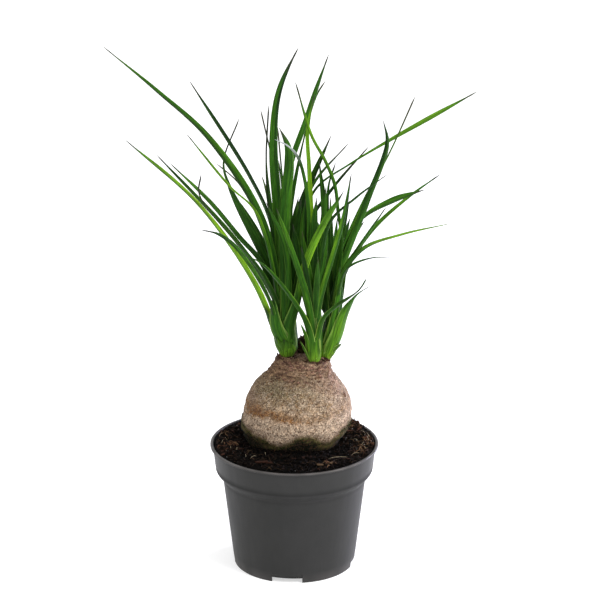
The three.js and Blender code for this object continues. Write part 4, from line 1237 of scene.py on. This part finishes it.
def make_stub(material):
    """The dark stub of the first stem, with its ragged top."""
    low = NECK_TOP - SEAT_DEPTH
    turns = np.linspace(0, FULL_TURN, STUB_SIDES, endpoint=False)
    levels = [(share, 1 - STUB["taper"] * share) for share in np.linspace(0, 1, STUB_LEVELS)]
    levels += [(1.0, (1 - STUB["taper"]) * share) for share in STUB_TOP_SHARES]
    points = []
    for share, wide in levels:
        x, y = STUB["radius"] * wide * np.cos(turns), STUB["radius"] * wide * np.sin(turns)
        z = low + (STUB["top"] - low) * share + share * STUB["slope"] * x
        points.append(np.stack([STUB["middle"][0] + x, STUB["middle"][1] + y, z], -1))
    points = np.concatenate(points)
    rough = 0.5 * clouds(points, 2.2, 3, 61.0) + 0.35 * clouds(points * (1, 1, 0.2), 0.9, 2, 63.0)
    away = unit((points - (*STUB["middle"], 0)) * (1, 1, 0))
    top = (len(STUB_TOP_SHARES) + 1) * STUB_SIDES
    lift = np.zeros_like(points)
    lift[-top:, 2] = 1.4 * clouds(points[-top:], 1.6, 2, 65.0)
    points = points + away * rough[:, None] + lift
    tint = mix(BARK_BROWN * 0.16, ALGAE * 0.55, smooth(-0.3, 0.5, clouds(points, 3.0, 2, 67.0)))
    faces = solid_faces(len(levels), STUB_SIDES)
    add_piece("caudex_stub", points, faces, material, "caudex", "caudex", tint=tint, clean=0.0)


def scale(rng, root, out, up, wide, tall, columns=6, rows=6):
    """A thin torn scale of dry leaf base. It stands on the bark and curls outwards."""
    side = np.cross(up, out)
    points = []
    torn = [rng.uniform(0.55, 1.0) for _ in range(columns)]
    curl = rng.uniform(0.05, 0.28)
    for face in (1, -1):
        for row in range(rows):
            share = row / (rows - 1)
            lean = 0.25 + curl * share**2 * tall * 0.6 + face * 0.09 * (1.2 - share)
            for column in range(columns):
                across = (column / (columns - 1) - 0.5) * wide * (1 - 0.45 * share)
                rise = tall * share * torn[column]
                points.append(root + side * across + up * rise + out * (lean - across**2 / 14))
    sheet = grid_faces(rows, columns, closed=False)
    count = rows * columns
    faces = sheet + [[corner + count for corner in face[::-1]] for face in sheet]
    right, back = range(2 * columns - 1, count, columns), range(count - 2, count - columns - 1, -1)
    border = [*range(columns), *right, *back, *range(count - 2 * columns, 0, -columns)]
    faces += [(b, a, a + count, b + count) for a, b in zip(border, border[1:] + border[:1])]
    return np.array(points), faces


def scales():
    """Scales round the neck, round the foot of each head, and the torn ones."""
    rng = random.Random(SCALE_SEED)
    for _ in range(NECK_SCALE_COUNT):
        height = 152 - 15 * rng.random() ** 1.5
        turn = rng.uniform(0, FULL_TURN)
        out = outwards(turn)
        up = (out * -0.35 + (0, 0, 0.94)) * rng.uniform(0.9, 1.1)
        tint = mix(BARK_BROWN, BARK_PINK * 0.9, rng.random() ** 1.2) * rng.uniform(0.75, 1.1)
        tall = rng.uniform(0.6, 1.5) * (1.0 if height < 148 else 1.6)
        yield *scale(rng, trunk_skin(turn, height), out, up, rng.uniform(1.6, 4.5), tall), tint
    for head in HEADS.values():
        for _ in range(FOOT_SCALE_COUNT):
            out = outwards(rng.uniform(0, FULL_TURN))
            root = head["base"] + out * rng.uniform(4.4, 5.7) + (0, 0, rng.uniform(1.8, 3.0))
            if in_trunk(root[0], root[1], SEAT_LEVEL):
                tint = mix(BARK_BROWN * 0.55, CHIP_TAN, rng.random() ** 1.6) * rng.uniform(0.6, 1.1)
                size = rng.uniform(2, 4.5), rng.uniform(1.0, 2.4)
                yield *scale(rng, root, out, 0.25 * out + (0, 0, 0.95), *size), tint
    for name, compass, away, wide, tall, lean in TORN_SCALES:
        out = outwards(compass * DEGREE)
        tint = mix(BARK_BROWN * 0.4, BARK_BROWN * 1.1, rng.random()) * (1.1, 0.9, 0.9)
        root = HEADS[name]["base"] + out * away + (0, 0, 1.6)
        yield *scale(rng, root, out, unit(lean * out + (0, 0, 1)), wide, tall), tint


def moss():
    """Low tufts of moss and algae crust where the trunk base meets the soil."""
    rng = random.Random(MOSS_SEED)
    for _ in range(MOSS_COUNT):
        turn = rng.uniform(0, FULL_TURN)
        front = front_degrees(turn)
        height = edge_height(ALGAE_EDGE, front) - 1 - abs(rng.gauss(0, 4))
        root = trunk_skin(turn, height)
        if height < soil_height(root[0], root[1]) - 0.5:
            continue
        points, faces = crumb(rng, rng.uniform(0.4, 1.15))
        # Darker towards the soil: damp, and painted contact shade
        wet = smooth(2.5, -1.5, height - edge_height(DAMP_AND_SHADED_EDGE, front))
        tint = mix(ALGAE_DARK * (1 - 0.6 * wet), ALGAE, rng.random() ** 1.5 * (1 - wet))
        yield points + root + outwards(turn) * 0.25, faces, tint * rng.uniform(0.7, 1.3)


# The leaves


class Draw:
    """Random numbers from 0 to 1, the ones that the far side's leaves in the frame were made with."""

    seed = 4711

    def __call__(self):
        self.seed = self.seed * 16807 % 2147483647
        return self.seed / 2147483647


def wave(rng, distance, shortest, longest):
    """A slow swing between -1 and 1 along a leaf."""
    return np.sin(distance / rng.uniform(shortest, longest) + rng.uniform(0, 6))


def head_axis(head, rise):
    """The point of a head's axis at a rise above its start."""
    base, top = np.array(head["base"], float), np.array(head["top"], float)
    return base + (top - base) * (rise / (top[2] - base[2]))


def core_radius(head, rise):
    """The radius of a head's core at a rise above its foot."""
    girth = 1 + (head["girth"] - 1) * smooth(SEAT_DEPTH, 9, rise)
    return np.interp(rise, CORE_RISES, CORE_RADII) * girth * (1 - 0.16 * hump(rise, 2.5, 3.0))


def hidden_leaf(head, rule, index, draw):
    """A leaf of a head's far side by the rule. Every other one is an outer leaf."""
    outer = index % 2 == 0
    golden = index * GOLDEN_SHARE % 1
    compass = rule["from"] + (rule["to"] - rule["from"]) * golden
    length = rule["shortest"] + (rule["longest"] - rule["shortest"]) * draw()
    lean_start = (8 + 8 * draw()) * DEGREE
    lean_end = rule["lean_end"] * (0.55 + 0.6 * draw()) * DEGREE
    out = outwards(compass * DEGREE)
    point = (np.array(head["base"]) + head["top"]) / 2 + 4 * out
    reach = length / HIDDEN_STEPS
    way = []
    for step in range(HIDDEN_STEPS):
        lean = lean_start + (lean_end - lean_start) * (step + 0.5) / HIDDEN_STEPS
        point = point + out * reach * math.sin(lean) + (0, 0, reach * math.cos(lean))
        way.append(point)
    wide = 3.6 + 3 * draw()
    return Leaf(compass, wide, way, (0.12 + 0.3 * golden,), "plain" if outer else "stalk"), outer


def centripetal(points, per_span=40):
    """A smooth centripetal curve through the points, as many short straight steps."""
    points = [np.array(point, float) for point in points]
    padded = [2 * points[0] - points[1], *points, 2 * points[-1] - points[-2]]
    t = np.linspace(0, 1, per_span, endpoint=False)[:, None]
    curve = []
    for before, start, end, after in zip(padded, padded[1:], padded[2:], padded[3:]):
        pairs = ((before, start), (start, end), (end, after))
        lead, span, rest = (math.sqrt(math.dist(*pair)) for pair in pairs)
        leave = (start - before) / lead - (end - before) / (lead + span) + (end - start) / span
        reach = (end - start) / span - (after - start) / (span + rest) + (after - end) / rest
        curve.append(hermite(t, start, end, leave * span, reach * span))
    curve.append(points[-1][None])
    return np.concatenate(curve)


def evenly(curve):
    """Points at even distances along a curve, the share of the way at each, and the curve's length."""
    along = np.concatenate([[0], np.cumsum(np.linalg.norm(np.diff(curve, axis=0), axis=1))])
    length = along[-1]
    share = np.linspace(0, 1, int(np.clip(length / BLADE_STEP, FEWEST_RINGS, MOST_RINGS)))
    return np.stack([np.interp(share * length, along, column) for column in curve.T], -1), share, length


def leaf_course(head, blade, stands, outer, order):
    """The way of a leaf. An outer one climbs the core, an inner one comes out of the middle."""
    out = outwards(stands * DEGREE)
    first = np.array(blade.way[0], float)
    room = first[2] - head["base"][2]
    if not outer:
        rise = min(INNER_ROOT + 15, (INNER_ROOT + room) / 2)
        side = head_axis(head, rise) + out * 2.6
        root = head_axis(head, INNER_ROOT) + out * 0.8
        return centripetal([root, side + 0.12 * (first - side), *blade.way])
    skin = 0.75 - 0.06 * order
    foot = 0.7 + 1.3 * order if blade.foot is None else blade.foot
    climb = [(foot + step, hold) for step, hold in CLIMB if foot + step < max(room - 9, foot + 4)]
    start = [head_axis(head, rise) + out * (core_radius(head, rise) * hold + skin) for rise, hold in climb]
    return centripetal([*start, *blade.way])


def blade_width(blade, outer, share, length, clasp, rng):
    """How wide a leaf is along its length: its sheath, its form, its tip and a slight wave."""
    distance = share * length
    sheath = blade.sheath or (OUTER_SHEATH_WIDTH if outer else INNER_SHEATH_WIDTH)
    width = blade.wide + max(0, sheath - blade.wide) * clasp
    factors = FORMS[blade.form]
    width = width * smooth_between(share, np.linspace(0, 1, len(factors)), factors)
    width = np.maximum(LEAST_WIDTH, width * (smooth(-4, 11, distance) if outer else 1))
    width = np.maximum(TIP_WIDTH, width * np.clip((length - distance) / TIP_LENGTH, 0, 1) ** 0.6)
    return width * (1 + 0.035 * wave(rng, distance, 9, 16))


def blade_tint(blade, outer, share, distance, rise, s, face, rng):
    """A leaf's colour: green by its tones, a pale midrib and margin, and a yellow foot."""
    tone = np.interp(share, np.linspace(0, 1, len(blade.tones)), blade.tones)
    tone = tone + 0.06 * rng.uniform(-1, 1) + 0.05 * wave(rng, distance, 14, 30)
    # Painted light and shade: one half of the blade lighter than the other
    painted_half_shade = rng.uniform(-0.1, 0.1)
    painted_half_shade = (painted_half_shade if blade.halves is None else blade.halves) * np.sign(s) * (np.abs(s) > 0.05)
    tone = tone[:, None] + 0.05 * face + painted_half_shade
    above = np.maximum(rise, 0)[:, None]
    edge = 0 if blade.form == "cup" else 0.5 if outer else 0.2
    fade = hump(distance, 0, 45) * smooth(2, 7, rise)
    return stained(
        LEAF_DARK,
        (LEAF_MIDDLE, 2 * tone),
        (LEAF_LIGHT, 2 * tone - 1),
        (LEAF_LIGHT, (0.3 * np.abs(s) ** 6 + 0.15 * hump(s, 0, 0.12)) * (0.25 + 0.75 * tone)),
        (LEAF_BASE, 0.8 * hump(above, 0, 12 if outer else 18)),
        (LEAF_FOOT, 0.7 * hump(above, 0, 3.2)),
        (LEAF_MARGIN, np.abs(s) ** 10 * edge * fade[:, None]),
    )


def leaf_blade(head, blade, outer, order, rng):
    """A leaf as rings of points: a gutter-shaped blade on a base that clasps the head."""
    stands = blade.faces if blade.stands is None else blade.stands
    ends = blade.faces if blade.ends is None else blade.ends
    course, share, length = evenly(leaf_course(head, blade, stands, outer, order))
    distance = share * length
    rise = course[:, 2] - head["base"][2]
    clasp = hump(distance, 0, min(SHEATH_REACH, SHORT_SHEATH_SHARE * length))
    hold = hump(distance, 0, CLASP_REACH)

    ahead = unit(np.gradient(course, axis=0))
    twist = 5 * wave(rng, distance, 22, 40) * smooth(20, 60, distance)
    bending = (ends - blade.faces) * smooth(0.25, 0.7, share)
    facing = (blade.faces + twist + bending + (stands - blade.faces) * clasp) * DEGREE
    across = np.stack([-np.sin(facing), np.cos(facing), 0 * facing], -1)
    across = unit(across - ahead * np.sum(across * ahead, axis=1)[:, None])
    outward = np.cross(across, ahead)

    width = blade_width(blade, outer, share, length, clasp, rng)[:, None]
    bend = hold / np.maximum(core_radius(head, rise) + 0.9, 3.5) * (1 if outer else 0.6)
    bend = np.maximum(bend, 1e-4)[:, None]
    fold = width * FOLD_DEPTH * (1 - 0.7 * hold[:, None])
    half = np.linspace(-1, 1, BLADE_HALF_POINTS)
    s = np.concatenate([half, half[::-1]])
    face = np.repeat((1, -1), BLADE_HALF_POINTS)
    arc = width / 2 * s
    sideways = np.sin(arc * bend) / bend
    inwards = (np.cos(arc * bend) - 1) / bend - fold * (np.sqrt(s**2 + 0.02) - 0.14)
    thick = LEAF_THICKNESS * (1 - 0.55 * s**2) * (1 - 0.5 * share[:, None]) * np.minimum(1, width / 1.6)
    lift = inwards + face * thick / 2
    points = course[:, None] + across[:, None] * sideways[..., None] + outward[:, None] * lift[..., None]

    tint = blade_tint(blade, outer, share, distance, rise, s, face, rng)
    dry = smooth(1 - blade.dry * 1.6, 1 - blade.dry * 0.3, share)[:, None]
    tint = mix(tint, LEAF_BLEACHED if blade.bleached else LEAF_DRY, 0.88 * dry)
    dull = np.broadcast_to(0.3 * dry, arc.shape)
    grain = (arc / STREAK_WIDTH, distance[:, None] / STREAK_LENGTH, rng.uniform(0, 500) + face)
    grain = np.stack(np.broadcast_arrays(*grain), -1)
    points, tint, grain = (values.reshape(-1, 3) for values in (points, tint, grain))
    return points, solid_faces(len(share), len(s)), tint, arc.ravel(), dull.ravel(), grain


def core_shape(head):
    """The middle of a head, which the leaves clasp: round at the foot, ribbed and closed at the top."""
    rises = np.concatenate([np.linspace(0, 4, 9), np.linspace(5, 68, 40)])
    turns = np.linspace(0, FULL_TURN, CORE_SIDES, endpoint=False)
    rings = []
    for rise in rises:
        ribs = 1 + 0.05 * np.sin(5 * turns + rise / 20) + 0.02 * np.sin(13 * turns)
        ring = np.stack([np.cos(turns), np.sin(turns), 0 * turns]) * core_radius(head, rise) * ribs
        rings.append(ring.T + head_axis(head, rise))
    rise = np.repeat(rises, CORE_SIDES)
    low, lowest = 0.75 * hump(rise, 0, 11), 0.7 * hump(rise, 0, 3.2)
    tint = stained((LEAF_DARK + LEAF_MIDDLE) / 2, (LEAF_BASE, low), (LEAF_FOOT, lowest))
    across = np.tile(turns * 6, len(rises))
    grain = np.stack([across / STREAK_WIDTH, rise / STREAK_LENGTH, 0 * across], -1)
    return np.concatenate(rings), solid_faces(len(rises), CORE_SIDES), tint, across, 0 * across, grain


def make_head(name, material, draw):
    """A head: its core and all its leaves, as one piece."""
    head = HEADS[name]
    rng = random.Random(name)
    leaves = [(blade, True, order) for order, blade in enumerate(OUTER_LEAVES[name])]
    leaves += [(blade, False, 0) for blade in INNER_LEAVES[name]]
    for index in range(HIDDEN_LEAVES[name]["count"]):
        leaves.append((*hidden_leaf(head, HIDDEN_LEAVES[name], index, draw), len(OUTER_LEAVES[name]) * 0.5))
    leaves += [(blade, True, -0.3) for blade in OUTERMOST_SHEATHS[name]]
    shapes = [core_shape(head), *(leaf_blade(head, *leaf, rng) for leaf in leaves)]
    across, dry, grain = (np.concatenate([shape[index] for shape in shapes]) for index in (3, 4, 5))
    parts = [shape[:3] for shape in shapes]
    looks = {"across": across, "dry": dry, "grain": grain}
    add_parts(f"leaves_{name}", parts, material, "leaves", node=f"head_{name}", **looks)


# The stage, the lights and the camera


def make_stage():
    """A plain white floor, far larger than the view, with a painted glow that lifts the shadows on it."""
    n = Nodes("floor_white")
    color = n.blend(n.noise(3, 2, 0.5), FLOOR_DARK, FLOOR_LIGHT)
    put(n.tree, n.shader.inputs["Emission Color"], WHITE)
    put(n.tree, n.shader.inputs["Emission Strength"], FLOOR_PAINTED_GLOW)
    corners = [(x * FLOOR_REACH, y * FLOOR_REACH, 0) for x, y in ((-1, -1), (1, -1), (1, 1), (-1, 1))]
    mesh = bpy.data.meshes.new("floor")
    mesh.from_pydata(corners, [], [(0, 1, 2, 3)])
    mesh.materials.append(n.finish(color, 0.9, 0.1))
    floor = bpy.data.objects.new("floor", mesh)
    bpy.context.scene.collection.objects.link(floor)


def make_light(name, light):
    """A rectangular lamp that faces its aim."""
    lamp = bpy.data.lights.new(name, "AREA")
    lamp.shape = "RECTANGLE"
    lamp.size, lamp.size_y = light["size"]
    lamp.energy = light["power"]
    lamp.color = light["color"]
    holder = bpy.data.objects.new(name, lamp)
    holder.location = light["place"]
    ahead = Vector(light["aim"]) - Vector(light["place"])
    holder.rotation_euler = ahead.to_track_quat("-Z", "Y").to_euler()
    bpy.context.scene.collection.objects.link(holder)


def make_lights():
    """Soft studio light: a white surround that is brighter on the right, and the lights."""
    world = bpy.data.worlds.new("studio")
    world.use_nodes = True
    tree = world.node_tree
    way = add_node(tree, "ShaderNodeTexCoord", "Generated")
    side = add_node(tree, "ShaderNodeSeparateXYZ", "X", {"Vector": way})
    background = tree.nodes["Background"]
    put(tree, background.inputs["Color"], WHITE)
    put(tree, background.inputs["Strength"], add_range(tree, side, -1, 1, SKY_LEFT, SKY_RIGHT))
    bpy.context.scene.world = world
    for name, light in LIGHTS.items():
        make_light(name, light)


def make_camera():
    """The photograph's view, from a little above the plant and far away."""
    lens = bpy.data.cameras.new("camera")
    lens.sensor_width = CAMERA_SENSOR
    lens.lens = CAMERA_LENS
    lens.clip_end = CAMERA_REACH
    camera = bpy.data.objects.new("camera", lens)
    camera.location = CAMERA_PLACE
    camera.rotation_euler = ((90 - CAMERA_PITCH) * DEGREE, 0, 0)
    bpy.context.scene.collection.objects.link(camera)
    bpy.context.scene.camera = camera


bpy.context.scene.view_settings.view_transform = "Standard"
pot_look, soil_look, fibre_look = pot_material(), soil_material(), fibre_material()
bark_look, leaf_look = bark_material(), leaf_material()
make_pot_wall(pot_look)
make_pot_floor(pot_look)
make_soil(soil_look)
make_litter(soil_look, fibre_look)
make_trunk(bark_look)
make_roots(bark_look)
make_stub(bark_look)
add_parts("caudex_scales", scales(), bark_look, "caudex", clean=0.0)
add_parts("caudex_moss", moss(), bark_look, "caudex", clean=0.0)
draw = Draw()
for head_name in HEADS:
    make_head(head_name, leaf_look, draw)
make_stage()
make_lights()
make_camera()
